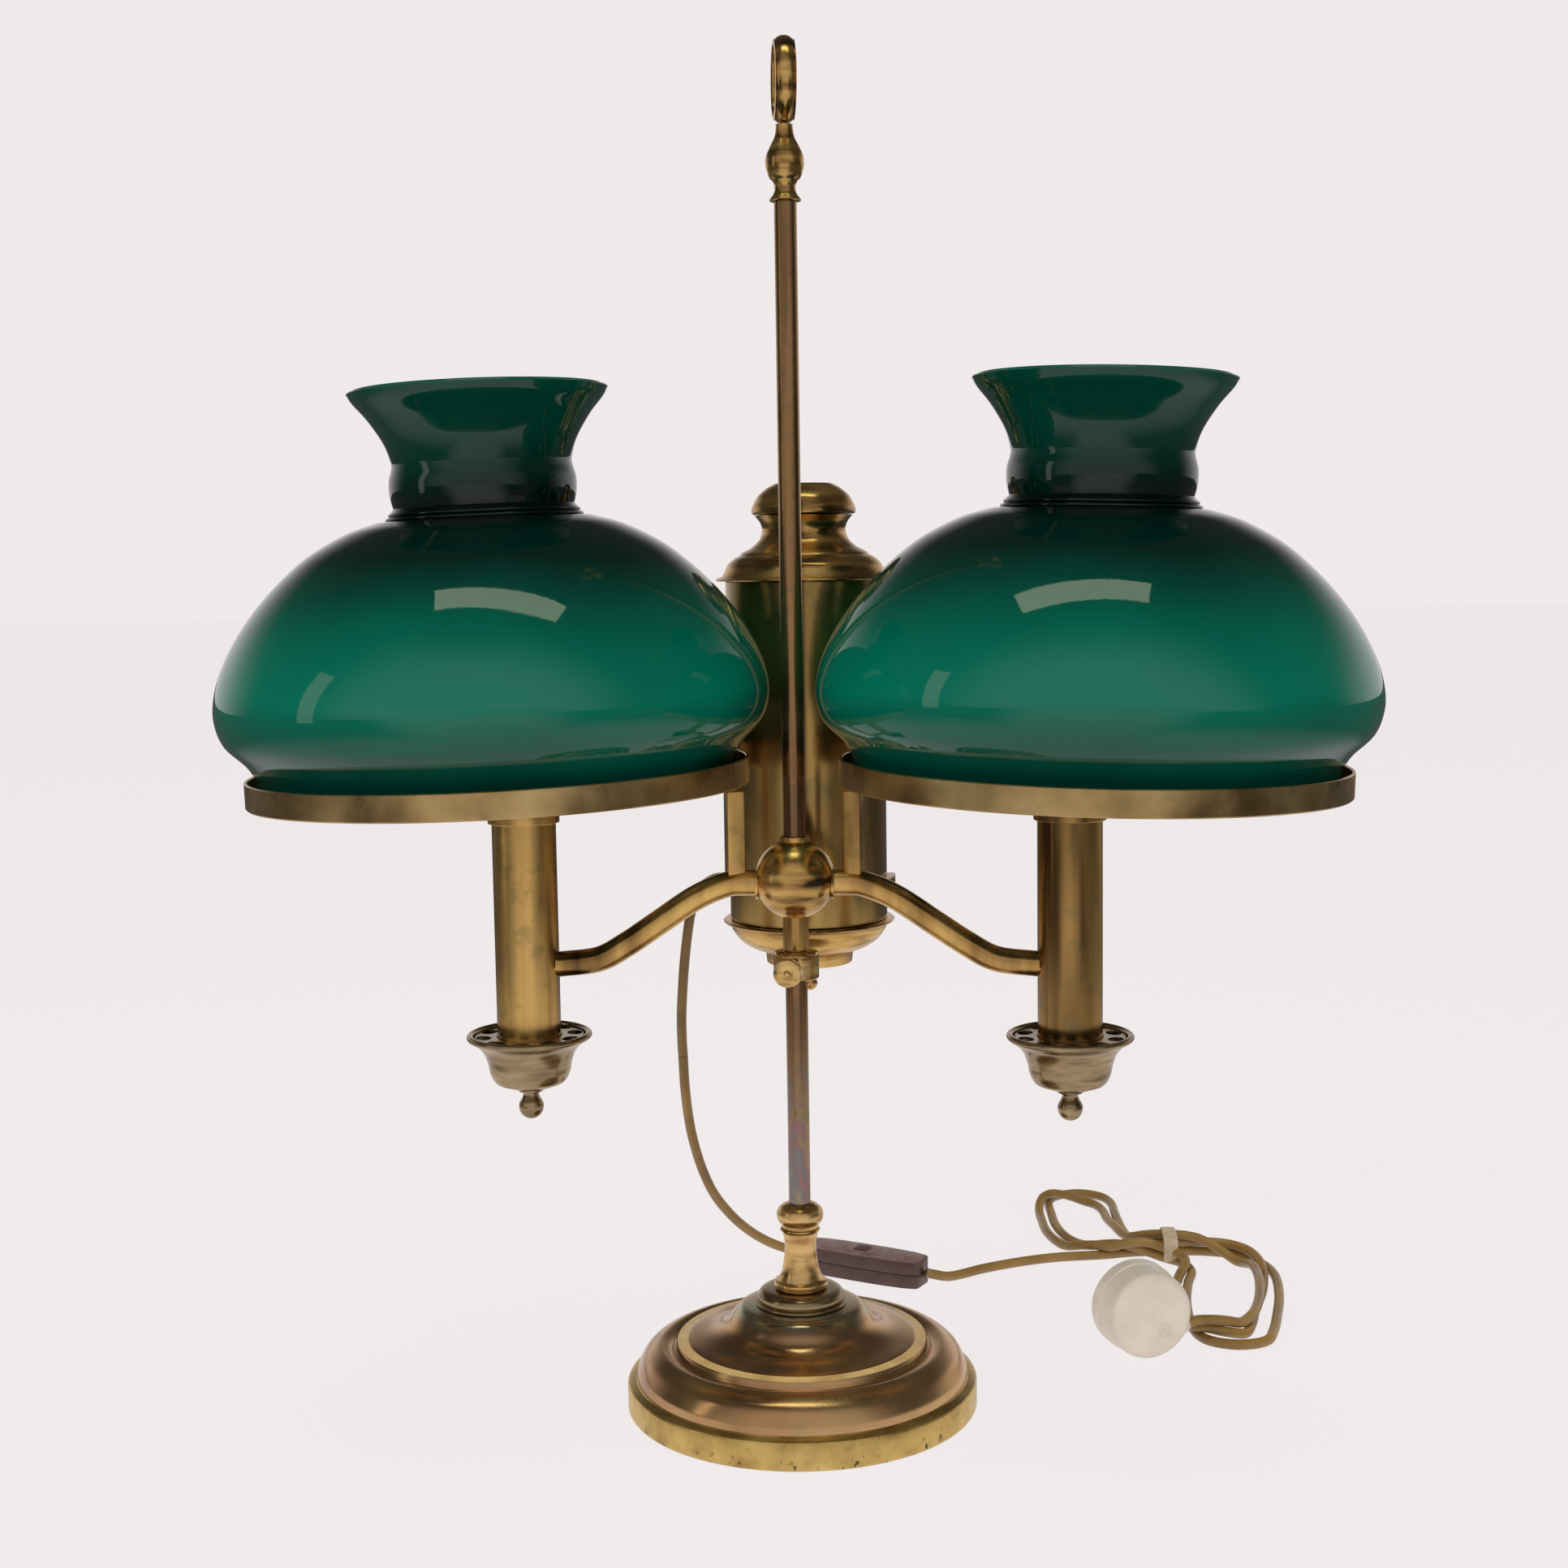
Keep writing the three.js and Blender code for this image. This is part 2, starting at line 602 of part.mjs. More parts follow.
function coverDome() {
  const bottom = 467.3 + GAP;
  const outer = [
    ...outline([[20.6, bottom], [28.8, bottom], [28.8, 471.8]]),
    ...outline([[25.4, 477.6], [21.2, 481.6], [16.2, 484.6]]),
  ];
  return turned([...outline([[0, 482.6], [15.4, 482.4], [23.2, 476.6], [26.6, 470.8]]), ...outer,
    new THREE.Vector2(0, 484.6)]);
}

part('tank_shell', tankShell(), agedBrass, tank);
part('tank_bottom', tankBottom(), agedBrass, tank);
part('tank_knob', tankKnob(), agedBrass, tank);
part('tank_saddle', tankSaddle(), agedBrass, tank);
part('cord_gland', cordGland(), brightBrass, tank);
part('tank_cover', tankCover(), agedBrass, tank);
part('cover_dome', coverDome(), agedBrass, tank);
part('terminal_block', box(24, 16, 12, 0, 0, 233), porcelain, tank);

// ---- Switch on the cord -------------------------------------------------------------

const SWITCH_X = 26;
const SWITCH_Y = 198.3;
const SWITCH_LENGTH = 80;
const SWITCH_WIDTH = 24;
const SWITCH_SPLIT_Z = 8.5;
const SWITCH_TOP_Z = 17;
const ROCKER_LENGTH = 15;
const ROCKER_WIDTH = 9;
const ROCKER_PIVOT_Z = 12;
const ROCKER_TILT = THREE.MathUtils.degToRad(8);
const cordSwitch = new THREE.Group();
cordSwitch.position.set(SWITCH_X, SWITCH_Y, 0);
cordSwitch.rotation.z = THREE.MathUtils.degToRad(-25.2);
lamp.add(cordSwitch);

// The plan of the housing: full width in the middle, a little narrower at the ends.
function switchPlan(length, width) {
  const half = length / 2;
  const side = width / 2;
  return new THREE.Shape(outline([
    [-half, -side + 4.4], [-half + 1.4, -side + 3], [-half * 0.5, -side], [half * 0.5, -side], [half - 1.4, -side + 3],
    [half, -side + 4.4], [half, side - 4.4], [half - 1.4, side - 3], [half * 0.5, side], [-half * 0.5, side],
    [-half + 1.4, side - 3], [-half, side - 4.4],
  ]));
}

function switchCover() {
  const bottomZ = SWITCH_SPLIT_Z + GAP;
  const block = slab(switchPlan(SWITCH_LENGTH, SWITCH_WIDTH), SWITCH_TOP_Z - bottomZ, bottomZ);
  const window = box(ROCKER_LENGTH + 1, ROCKER_WIDTH + 1, 20, 0, 0, SWITCH_TOP_Z);
  return cut(block, window);
}

function switchBase() {
  const block = slab(switchPlan(SWITCH_LENGTH, SWITCH_WIDTH), SWITCH_SPLIT_Z, 0);
  return cut(block, box(ROCKER_LENGTH + 4, ROCKER_WIDTH + 1, 8, 0, 0, SWITCH_SPLIT_Z));
}

// A rocker that stands proud, its top a shallow V. It turns about the cover's width, and rests pressed
// down on one side.
function switchRocker() {
  const half = ROCKER_LENGTH / 2 - 0.4;
  const shape = new THREE.Shape(outline([[-2.4, 10], [2.4, 10], [half, 14.6], [half - 0.4, 17.4], [0, 18.4],
    [-half + 0.4, 17.4], [-half, 14.6]]));
  const geometry = new THREE.ExtrudeGeometry(shape, { depth: ROCKER_WIDTH - 0.4, bevelEnabled: false });
  geometry.translate(0, 0, -(ROCKER_WIDTH - 0.4) / 2);
  geometry.rotateX(Math.PI / 2);
  geometry.translate(0, 0, -ROCKER_PIVOT_Z);
  geometry.rotateY(ROCKER_TILT);
  geometry.translate(0, 0, ROCKER_PIVOT_Z);
  return geometry;
}

part('switch_base', switchBase(), brownPlastic, cordSwitch);
part('switch_cover', switchCover(), brownPlastic, cordSwitch);
part('switch_rocker', switchRocker(), brownPlastic, cordSwitch);

// ---- Cord ---------------------------------------------------------------------------

const CORD_SIDES = 8;

// From the gland, over a short bend, and down behind the left arm.
const CORD_TOP_ROUTE = [
  [-45.3, 131.2, 259.6], [-49, 132.8, 259.9], [-56.2, 136.2, 258.6], [-63.4, 139.2, 254], [-68.4, 140.8, 246.5],
  [-71.8, 141.6, 235.6], [-74.8, 143, 217], [-77, 145.2, 198], [-78.8, 148, 176], [-79.2, 151, 159], [-79, 152.4, 150.2],
];
// On down in a wide curve to the floor behind the base, and into the switch.
const CORD_DROP_ROUTE = [
  [-79, 152.5, 149.8], [-78.6, 155, 131], [-77.4, 159.4, 112], [-75.4, 163.8, 96], [-71.4, 170.4, 77],
  [-65.4, 178.8, 58.6], [-57.4, 188, 43.6], [-48.4, 197.6, 31], [-39, 206.2, 21.4], [-29.8, 212.4, 14.8],
  [-20.8, 216.4, 10.6], [-11.8, 215.9, 8.7],
];
// Out of the switch and along the floor to the bundle.
const CORD_LEAD_ROUTE = [
  [63.9, 180.6, 8.6], [70, 181.8, 7], [77, 186.6, 4.4], [86, 195.6, 3], [96.6, 204.4, 3], [108.5, 212, 3],
  [121, 219, 3], [134, 225, 3], [146, 229.2, 3], [153.6, 231, 3],
];

part('cord_top', bar(pathThrough(CORD_TOP_ROUTE), CORD_R, CORD_SIDES, 14), cordSheath);
part('cord_drop', bar(pathThrough(CORD_DROP_ROUTE), CORD_R, CORD_SIDES, 20), cordSheath);
part('cord_lead', bar(pathThrough(CORD_LEAD_ROUTE), CORD_R, CORD_SIDES, 12), cordSheath);

const BUNDLE_OUTLINE = [
  [162, 226], [184, 219], [208, 222], [224, 222], [213, 186], [209, 146], [210, 116], [221, 94], [221, 80],
  [231, 68], [246, 74], [261, 100], [275, 145], [279, 190], [290, 230], [282, 250], [254, 256], [224, 249],
  [208, 249], [202, 297], [186, 345], [165, 373], [145, 380], [136, 338], [139, 288], [150, 249],
];
const BUNDLE_HEIGHT = 16;
const BUNDLE_BOTTOM_Z = 1.6;

part('cord_bundle', slab(new THREE.Shape(outline(BUNDLE_OUTLINE)), BUNDLE_HEIGHT, BUNDLE_BOTTOM_Z), cordSheath);

const TIE_X = 216;
const TIE_Y = 236;

// A strap round the waist of the bundle.
function cordTie() {
  const thickness = 1;
  const insideWidth = 28;
  const insideHeight = BUNDLE_HEIGHT + 0.6;
  const centreZ = BUNDLE_BOTTOM_Z + BUNDLE_HEIGHT / 2;
  const outside = box(9, insideWidth + 2 * thickness, insideHeight + 2 * thickness, TIE_X, TIE_Y, centreZ);
  return cut(outside, box(12, insideWidth, insideHeight, TIE_X, TIE_Y, centreZ));
}

part('cord_tie', cordTie(), tieBand);

// ---- Plug ---------------------------------------------------------------------------

const PLUG_R = 25.4;
const PLUG_THICKNESS = 26;
const plug = new THREE.Group();
plug.position.set(185, 71.9, PLUG_R + 0.1);
plug.rotation.z = THREE.MathUtils.degToRad(20);
lamp.add(plug);

// The plug stands on its edge with its round face to the front and its pins to the rear.
function plugBody() {
  const half = PLUG_THICKNESS / 2;
  const geometry = turned([
    new THREE.Vector2(0, -half), ...arc(PLUG_R - 4, -half + 4, 4, -80, 0, 2),
    ...outline([[PLUG_R, half], [0, half]]),
  ]);
  geometry.rotateX(-Math.PI / 2);
  return geometry;
}

const PIN_BACK_Y = PLUG_THICKNESS / 2 + GAP;
const PINS = [
  ['plug_pin_earth', 0, 10, 4, 8, 22], ['plug_pin_live', 11, -10, 6.4, 4, 17.7], ['plug_pin_neutral', -11, -10, 6.4, 4, 17.7],
];

part('plug_body', plugBody(), whitePlastic, plug);
for (const [name, x, z, width, height, length] of PINS) {
  part(name, box(width, length, height, x, PIN_BACK_Y + length / 2, z), brightBrass, plug);
}

export default lamp;
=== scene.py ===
"""The looks of a two-arm brass student lamp with green glass shades.

Lengths are in millimetres, as in the part, unless a name or comment says otherwise. They become
metres where a mesh is made. Each visible piece is a fine mesh at the place of the plain CAD node
that it replaces, and rides on that node's body.
"""
import json
import math

import bmesh
import bpy
import numpy as np
from mathutils import Matrix, Vector


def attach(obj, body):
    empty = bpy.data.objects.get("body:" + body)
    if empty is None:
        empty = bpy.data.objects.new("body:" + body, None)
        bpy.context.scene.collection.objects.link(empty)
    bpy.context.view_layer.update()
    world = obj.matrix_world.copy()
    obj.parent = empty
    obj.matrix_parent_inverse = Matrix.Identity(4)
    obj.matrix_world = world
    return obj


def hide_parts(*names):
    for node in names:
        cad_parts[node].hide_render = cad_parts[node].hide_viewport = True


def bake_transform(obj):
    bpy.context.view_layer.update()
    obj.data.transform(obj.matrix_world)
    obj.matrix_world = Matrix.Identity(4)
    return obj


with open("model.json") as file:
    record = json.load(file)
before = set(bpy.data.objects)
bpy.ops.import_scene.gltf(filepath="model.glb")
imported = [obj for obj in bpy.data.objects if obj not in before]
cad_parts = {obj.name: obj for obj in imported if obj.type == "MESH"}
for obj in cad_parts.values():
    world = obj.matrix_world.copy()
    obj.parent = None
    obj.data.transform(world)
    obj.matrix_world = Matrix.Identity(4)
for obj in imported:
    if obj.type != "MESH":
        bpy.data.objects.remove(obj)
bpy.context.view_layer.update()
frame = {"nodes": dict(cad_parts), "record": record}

MM = 0.001
SIDES = (("left", -1), ("right", 1))
ROUND = 128  # facets round a wide turned piece
SLIM = 64  # facets round a slim one
SHARP_ANGLE = math.radians(34)
SHEET = 1.2  # thickness of the spun brass
UP = Vector((0, 0, 1))
ON_AXIS = 0.01  # a point with a smaller radius lies on the axis
NEARLY_STRAIGHT = math.radians(20)

# ---- Where the lamp's parts stand, in millimetres ----

BURNER_X = 141
RING_X = 152.4
TANK_Y = 110
ROD_R = 5.7
ROD_TOP_Z = 620.6
HUB_Z = 279
HUB_R = 20.9
CORD_R = 2.9

body_of_node = {
    node: body for body, nodes in frame["record"]["behaviour"]["bodies"].items() for node in nodes
}

# ---- Camera ----

CAMERA_DISTANCE = 1112
CAMERA_HEIGHT = 446
CAMERA_AZIMUTH = math.radians(4)
CAMERA_PITCH = math.radians(-6.05)
CAMERA_ROLL = math.radians(0.86)
CAMERA_YAW = math.radians(0.257)
CAMERA_LENS = 49.94


def make_camera():
    data = bpy.data.cameras.new("camera")
    data.lens = CAMERA_LENS
    data.sensor_width = 36
    data.clip_end = 20
    camera = bpy.data.objects.new("camera", data)
    bpy.context.scene.collection.objects.link(camera)
    place = Vector((math.sin(CAMERA_AZIMUTH), -math.cos(CAMERA_AZIMUTH), 0)) * CAMERA_DISTANCE
    place.z = CAMERA_HEIGHT
    turn = Matrix.Rotation(CAMERA_AZIMUTH + CAMERA_YAW, 4, "Z")
    tilt = Matrix.Rotation(math.radians(90) + CAMERA_PITCH, 4, "X")
    roll = Matrix.Rotation(-CAMERA_ROLL, 4, "Z")
    camera.matrix_world = Matrix.Translation(place * MM) @ turn @ tilt @ roll
    bpy.context.scene.camera = camera


make_camera()

# ---- Shapes: each returns vertices in millimetres and faces ----


def spline(points, steps):
    """A smooth line through the points, with a number of steps between each two."""
    points = [Vector(point) for point in points]
    padded = [2 * points[0] - points[1]] + points + [2 * points[-1] - points[-2]]
    line = []
    for before, start, end, after in zip(padded, padded[1:], padded[2:], padded[3:]):
        for step in range(steps):
            t = step / steps
            line.append(0.5 * (
                2 * start + (end - before) * t
                + (2 * before - 5 * start + 4 * end - after) * t ** 2
                + (3 * start - before - 3 * end + after) * t ** 3
            ))
    return line + [points[-1]]


def curve2(points, steps=6):
    return [(point.x, point.y) for point in spline(points, steps)]


def arc(centre_r, centre_z, radius, start, end, steps=14):
    """Points round a centre, from one angle to another in degrees."""
    points = []
    for step in range(steps + 1):
        angle = math.radians(start + (end - start) * step / steps)
        points.append((centre_r + radius * math.cos(angle), centre_z + radius * math.sin(angle)))
    return points


DOUBLED_BACK = 3  # a turn, in radians, that all but comes back on itself
LONGEST_CUT = 0.4  # how much of an edge the rounding of a corner may use


def rounded(points, radius, closed=True):
    """The same outline with each hard corner turned into a small arc."""
    result = []
    count = len(points)
    for index, point in enumerate(points):
        here = Vector(point)
        if not closed and index in (0, count - 1):
            result.append(tuple(here))
            continue
        before = Vector(points[index - 1]) - here
        after = Vector(points[(index + 1) % count]) - here
        if before.length < 1e-6 or after.length < 1e-6:
            continue
        turn = math.pi - before.angle(after)
        if turn < NEARLY_STRAIGHT or here.x < ON_AXIS:
            result.append(tuple(here))
            continue
        reach = radius * math.tan(turn / 2) if turn < DOUBLED_BACK else radius
        reach = min(reach, before.length * LONGEST_CUT, after.length * LONGEST_CUT)
        start = here + before.normalized() * reach
        end = here + after.normalized() * reach
        for step in range(5):
            t = step / 4
            result.append(tuple((1 - t) ** 2 * start + 2 * t * (1 - t) * here + t ** 2 * end))
    return result


def wall(outer, thickness):
    """A closed outline: the outer line, and the same line moved in by a thickness."""
    inner = []
    for index, point in enumerate(outer):
        before = Vector(outer[max(index - 1, 0)])
        after = Vector(outer[min(index + 1, len(outer) - 1)])
        along = (after - before).normalized()
        inner.append((point[0] - along.y * thickness, point[1] + along.x * thickness))
    return list(outer) + inner[::-1]


def turned(profile, sides=ROUND, centre=(0, 0), closed=True):
    """Turns a profile of radius and height about a vertical axis."""
    vertices, rings = [], []
    for radius, height in profile:
        if radius < ON_AXIS:
            rings.append([len(vertices)] * sides)
            vertices.append((centre[0], centre[1], height))
            continue
        rings.append(list(range(len(vertices), len(vertices) + sides)))
        for side in range(sides):
            angle = 2 * math.pi * side / sides
            vertices.append((
                centre[0] + radius * math.cos(angle), centre[1] + radius * math.sin(angle), height,
            ))
    pairs = list(zip(rings, rings[1:]))
    if closed:
        pairs.append((rings[-1], rings[0]))
    return vertices, bridged(pairs)


def bridged(pairs):
    faces = []
    for lower, upper in pairs:
        sides = len(lower)
        for side in range(sides):
            after = (side + 1) % sides
            corners = [lower[side], lower[after], upper[after], upper[side]]
            face = list(dict.fromkeys(corners))
            if len(face) > 2:
                faces.append(face)
    return faces


def directions(path):
    """The direction, and a side vector that doesn't twist, at each point of a path."""
    tangents = []
    for index in range(len(path)):
        before = path[max(index - 1, 0)]
        after = path[min(index + 1, len(path) - 1)]
        tangents.append((after - before).normalized())
    side = tangents[0].orthogonal().normalized()
    if abs(tangents[0].z) < 0.9:
        side = tangents[0].cross(UP).normalized()
    sides = []
    for tangent in tangents:
        side = (side - tangent * side.dot(tangent)).normalized()
        sides.append(side)
    return tangents, sides


def lofted(outlines, ring=False):
    """Joins outlines of equal length into a skin: one with closed ends, or a ring without ends."""
    size = len(outlines[0])
    rings = [list(range(start, start + size)) for start in range(0, size * len(outlines), size)]
    vertices = [tuple(point) for outline in outlines for point in outline]
    pairs = list(zip(rings, rings[1:]))
    if ring:
        return vertices, bridged(pairs + [(rings[-1], rings[0])])
    return vertices, bridged(pairs) + [rings[0][::-1], rings[-1]]


def swept(path, section):
    """Carries a section along a path."""
    path = [Vector(point) for point in path]
    tangents, sides = directions(path)
    outlines = []
    for point, tangent, side in zip(path, tangents, sides):
        across = tangent.cross(side)
        outlines.append([point + side * x + across * y for x, y in section])
    return lofted(outlines)


def circle(radius, sides=32):
    step = 2 * math.pi / sides
    return [(radius * math.cos(step * side), radius * math.sin(step * side)) for side in range(sides)]


def soft_box(size, centre, bevel, turn=None):
    """A box with rounded edges, turned about its own centre."""
    work = bmesh.new()
    bmesh.ops.create_cube(work, size=1)
    bmesh.ops.scale(work, vec=Vector(size), verts=work.verts)
    bmesh.ops.bevel(work, geom=list(work.edges), offset=bevel, segments=3, profile=0.5, affect="EDGES")
    matrix = Matrix.Translation(Vector(centre)) @ (turn or Matrix.Identity(4))
    bmesh.ops.transform(work, matrix=matrix, verts=work.verts)
    return taken(work)


def taken(work):
    work.verts.index_update()
    vertices = [tuple(vertex.co) for vertex in work.verts]
    faces = [[vertex.index for vertex in face.verts] for face in work.faces]
    work.free()
    return vertices, faces


def stacked(layers):
    """Joins outlines of equal length, each at its own height, into one closed block."""
    return lofted([[(x, y, height) for x, y in outline] for outline, height in layers])


def sleeve(inner, outer, bottom, top, softness=0.3):
    """The profile of a plain tube with softened edges."""
    return rounded([(inner, bottom), (outer, bottom), (outer, top), (inner, top)], softness)


def rotation(degrees, axis):
    return Matrix.Rotation(math.radians(degrees), 4, axis)


def pointed(direction):
    """Turns the upright axis to a direction."""
    return direction.to_track_quat("Z", "Y").to_matrix().to_4x4()


def moved(shape, matrix):
    vertices, faces = shape
    return [tuple(matrix @ Vector(vertex)) for vertex in vertices], faces


def together(*shapes):
    vertices, faces = [], []
    for more_vertices, more_faces in shapes:
        start = len(vertices)
        vertices += more_vertices
        faces += [[index + start for index in face] for face in more_faces]
    return vertices, faces


def inset(outline, distance):
    """A closed outline moved inwards, for a convex plan that runs anticlockwise."""
    result = []
    for index, point in enumerate(outline):
        before = Vector(outline[index - 1])
        after = Vector(outline[(index + 1) % len(outline)])
        along = (after - before).normalized()
        result.append((point[0] - along.y * distance, point[1] + along.x * distance))
    return result


def make_mesh(name, shape):
    """A Blender object in metres, smooth but for its hard edges."""
    vertices, faces = shape
    mesh = bpy.data.meshes.new(name)
    mesh.from_pydata([(x * MM, y * MM, z * MM) for x, y, z in vertices], [], faces)
    work = bmesh.new()
    work.from_mesh(mesh)
    bmesh.ops.recalc_face_normals(work, faces=work.faces)
    for face in work.faces:
        face.smooth = True
    for edge in work.edges:
        edge.smooth = not (edge.is_manifold and edge.calc_face_angle(0) > SHARP_ANGLE)
    work.to_mesh(mesh)
    work.free()
    piece = bpy.data.objects.new(name, mesh)
    bpy.context.scene.collection.objects.link(piece)
    return piece


def add(node, shape, *looks):
    """Puts a fine piece in the place of a CAD node, on that node's body."""
    piece = make_mesh("fine_" + node, shape)
    for look in looks:
        piece.data.materials.append(look)
    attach(piece, body_of_node[node])
    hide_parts(node)
    return piece


def paint(piece, material_index, where, centre=(0, 0)):
    """Gives a look to the faces for which where(radius, height) is true, in millimetres."""
    for polygon in piece.data.polygons:
        middle = polygon.center / MM
        radius = math.hypot(middle.x - centre[0], middle.y - centre[1])
        if where(radius, middle.z):
            polygon.material_index = material_index


# ---- Materials ----


class Nodes:
    """A short way to write the nodes of a material or of the world."""

    def __init__(self, owner):
        owner.use_nodes = True
        self.tree = owner.node_tree

    def new(self, kind, **settings):
        made = self.tree.nodes.new(kind)
        for key, value in settings.items():
            setattr(made, key, value)
        return made

    def link(self, output, target):
        self.tree.links.new(output, target)

    def level(self, source, low, high, to_low=0, to_high=1):
        """Spreads a value's range from low to high over another range, smoothly."""
        spread = self.new("ShaderNodeMapRange", interpolation_type="SMOOTHSTEP")
        for key, value in (("From Min", low), ("From Max", high), ("To Min", to_low), ("To Max", to_high)):
            spread.inputs[key].default_value = value
        self.link(source, spread.inputs["Value"])
        return spread.outputs["Result"]

    def math(self, operation, first, second):
        made = self.new("ShaderNodeMath", operation=operation)
        for value, target in ((first, made.inputs[0]), (second, made.inputs[1])):
            if isinstance(value, (int, float)):
                target.default_value = value
            else:
                self.link(value, target)
        return made.outputs[0]

    def axes(self, source):
        split = self.new("ShaderNodeSeparateXYZ")
        self.link(source, split.inputs[0])
        return split.outputs

    def seen_by_camera(self):
        """One for what the camera sees directly, and zero for what lights or mirrors in the lamp."""
        return self.new("ShaderNodeLightPath").outputs["Is Camera Ray"]

    def mix(self, factor, first, second, blend="MIX"):
        made = self.new("ShaderNodeMix", data_type="RGBA", blend_type=blend)
        values = ((factor, made.inputs[0]), (first, made.inputs[6]), (second, made.inputs[7]))
        for value, target in values:
            if isinstance(value, tuple):
                target.default_value = (*value, 1)
            elif isinstance(value, (int, float)):
                target.default_value = value
            else:
                self.link(value, target)
        return made.outputs[2]

    def ramp(self, factor, *stops):
        made = self.new("ShaderNodeValToRGB")
        elements = made.color_ramp.elements
        while len(elements) < len(stops):
            elements.new(0.5)
        for element, (position, colour) in zip(elements, stops):
            element.position = position
            element.color = (*colour, 1)
        self.link(factor, made.inputs["Fac"])
        return made.outputs["Color"]


class Look(Nodes):
    """A material with a principled shader, its patterns laid out on the piece's own place."""

    def __init__(self, name, **values):
        self.material = bpy.data.materials.new(name)
        super().__init__(self.material)
        self.shader = self.tree.nodes["Principled BSDF"]
        for key, value in values.items():
            self.shader.inputs[key.replace("_", " ")].default_value = value
        self.place = self.new("ShaderNodeTexCoord").outputs["Object"]

    def noise(self, scale, detail=4, stretch=(1, 1, 1), roughness=0.55):
        """Noise, stretched along an axis where its factor is small."""
        mapping = self.new("ShaderNodeMapping")
        mapping.inputs["Scale"].default_value = stretch
        self.link(self.place, mapping.inputs["Vector"])
        texture = self.new("ShaderNodeTexNoise")
        for key, value in (("Scale", scale), ("Detail", detail), ("Roughness", roughness)):
            texture.inputs[key].default_value = value
        self.link(mapping.outputs["Vector"], texture.inputs["Vector"])
        return texture.outputs["Fac"]

    def height(self):
        """The height on the piece, in millimetres."""
        return self.math("DIVIDE", self.axes(self.place)["Z"], MM)

    def base(self):
        """The colour that the shader has so far."""
        return self.shader.inputs["Base Color"].links[0].from_socket

    def colour(self, source):
        self.link(source, self.shader.inputs["Base Color"])

    def rough(self, source):
        self.link(source, self.shader.inputs["Roughness"])

    def bump(self, source, depth, strength=0.5):
        """Depth is in metres."""
        made = self.new("ShaderNodeBump")
        made.inputs["Strength"].default_value = strength
        made.inputs["Distance"].default_value = depth
        self.link(source, made.inputs["Height"])
        self.link(made.outputs["Normal"], self.shader.inputs["Normal"])


GOLD = (0.86, 0.56, 0.18)
OLD_GOLD = (0.52, 0.31, 0.1)
BROWN = (0.13, 0.07, 0.028)
COPPER = (0.4, 0.2, 0.1)
PINK_BRONZE = (0.4, 0.25, 0.16)
GREEN_TARNISH = (0.13, 0.15, 0.07)
BLUE_TARNISH = (0.2, 0.23, 0.24)
PURPLE_TARNISH = (0.32, 0.17, 0.19)
VERDIGRIS = (0.42, 0.5, 0.38)


def brass(name, light, middle, dark, roughness, streak=(1, 1, 1), tarnish=0.35, scale=28):
    """Polished brass gone brown: cloudy colour, stains, fine scratches and a dulled sheen."""
    look = Look(name, Metallic=0.95)
    clouds = look.noise(scale, 3, streak)
    colour = look.ramp(clouds, (0.3, dark), (0.47, middle), (0.66, light))
    stains = look.level(look.noise(scale * 2.3, 5), 0.52, 0.7, 0, tarnish)
    colour = look.mix(stains, colour, GREEN_TARNISH)
    warm = look.level(look.noise(scale * 0.8, 3), 0.55, 0.75, 0, tarnish)
    colour = look.mix(warm, colour, COPPER)
    specks = look.level(look.noise(700, 2), 0.72, 0.8, 0, 0.4)
    look.colour(look.mix(specks, colour, BROWN))
    scratches = look.noise(160, 3, tuple(0.12 if part < 1 else 3 * part for part in streak))
    dulled = look.math("ADD", clouds, look.math("MULTIPLY", scratches, 0.25))
    look.rough(look.level(dulled, 0.45, 0.85, roughness, roughness + 0.14))
    look.bump(scratches, 0.00004, 0.15)
    return look


EVENLY = (1, 1, 1)
ALONG_Z = (1, 1, 0.08)  # streaks that run up a tube
AROUND = (1, 1, 7)  # fine lines that run round a turned piece

tube_brass = brass("tube_brass", GOLD, OLD_GOLD, BROWN, 0.2, ALONG_Z, 0.35, 40).material
turned_brass = brass("turned_brass", GOLD, OLD_GOLD, BROWN, 0.16, AROUND, 0.22, 22).material
bright_brass = brass(
    "bright_brass", (0.88, 0.6, 0.25), (0.7, 0.45, 0.17), (0.44, 0.26, 0.1), 0.16, AROUND, 0.2, 50,
).material
dark_brass = brass(
    "dark_brass", (0.47, 0.36, 0.2), (0.34, 0.25, 0.14), (0.18, 0.12, 0.065), 0.16, AROUND, 0.2, 40,
).material
band_brass = brass(
    "band_brass", (0.64, 0.46, 0.2), (0.46, 0.31, 0.13), (0.26, 0.16, 0.06), 0.22, EVENLY, 0.25, 24,
).material
tank_brass = brass(
    "tank_brass", (0.74, 0.49, 0.17), (0.44, 0.28, 0.09), (0.17, 0.11, 0.045), 0.15, (1, 1, 0.25), 0.5, 20,
).material
# Lighter and less metallic brass for the base's flat step: a painted highlight.
painted_highlight_gold_look = brass(
    "painted_highlight_gold", (0.88, 0.62, 0.26), (0.8, 0.54, 0.21), (0.6, 0.39, 0.14), 0.34, EVENLY, 0.08, 60,
)
painted_highlight_gold_look.shader.inputs["Metallic"].default_value = 0.25
painted_highlight_gold = painted_highlight_gold_look.material


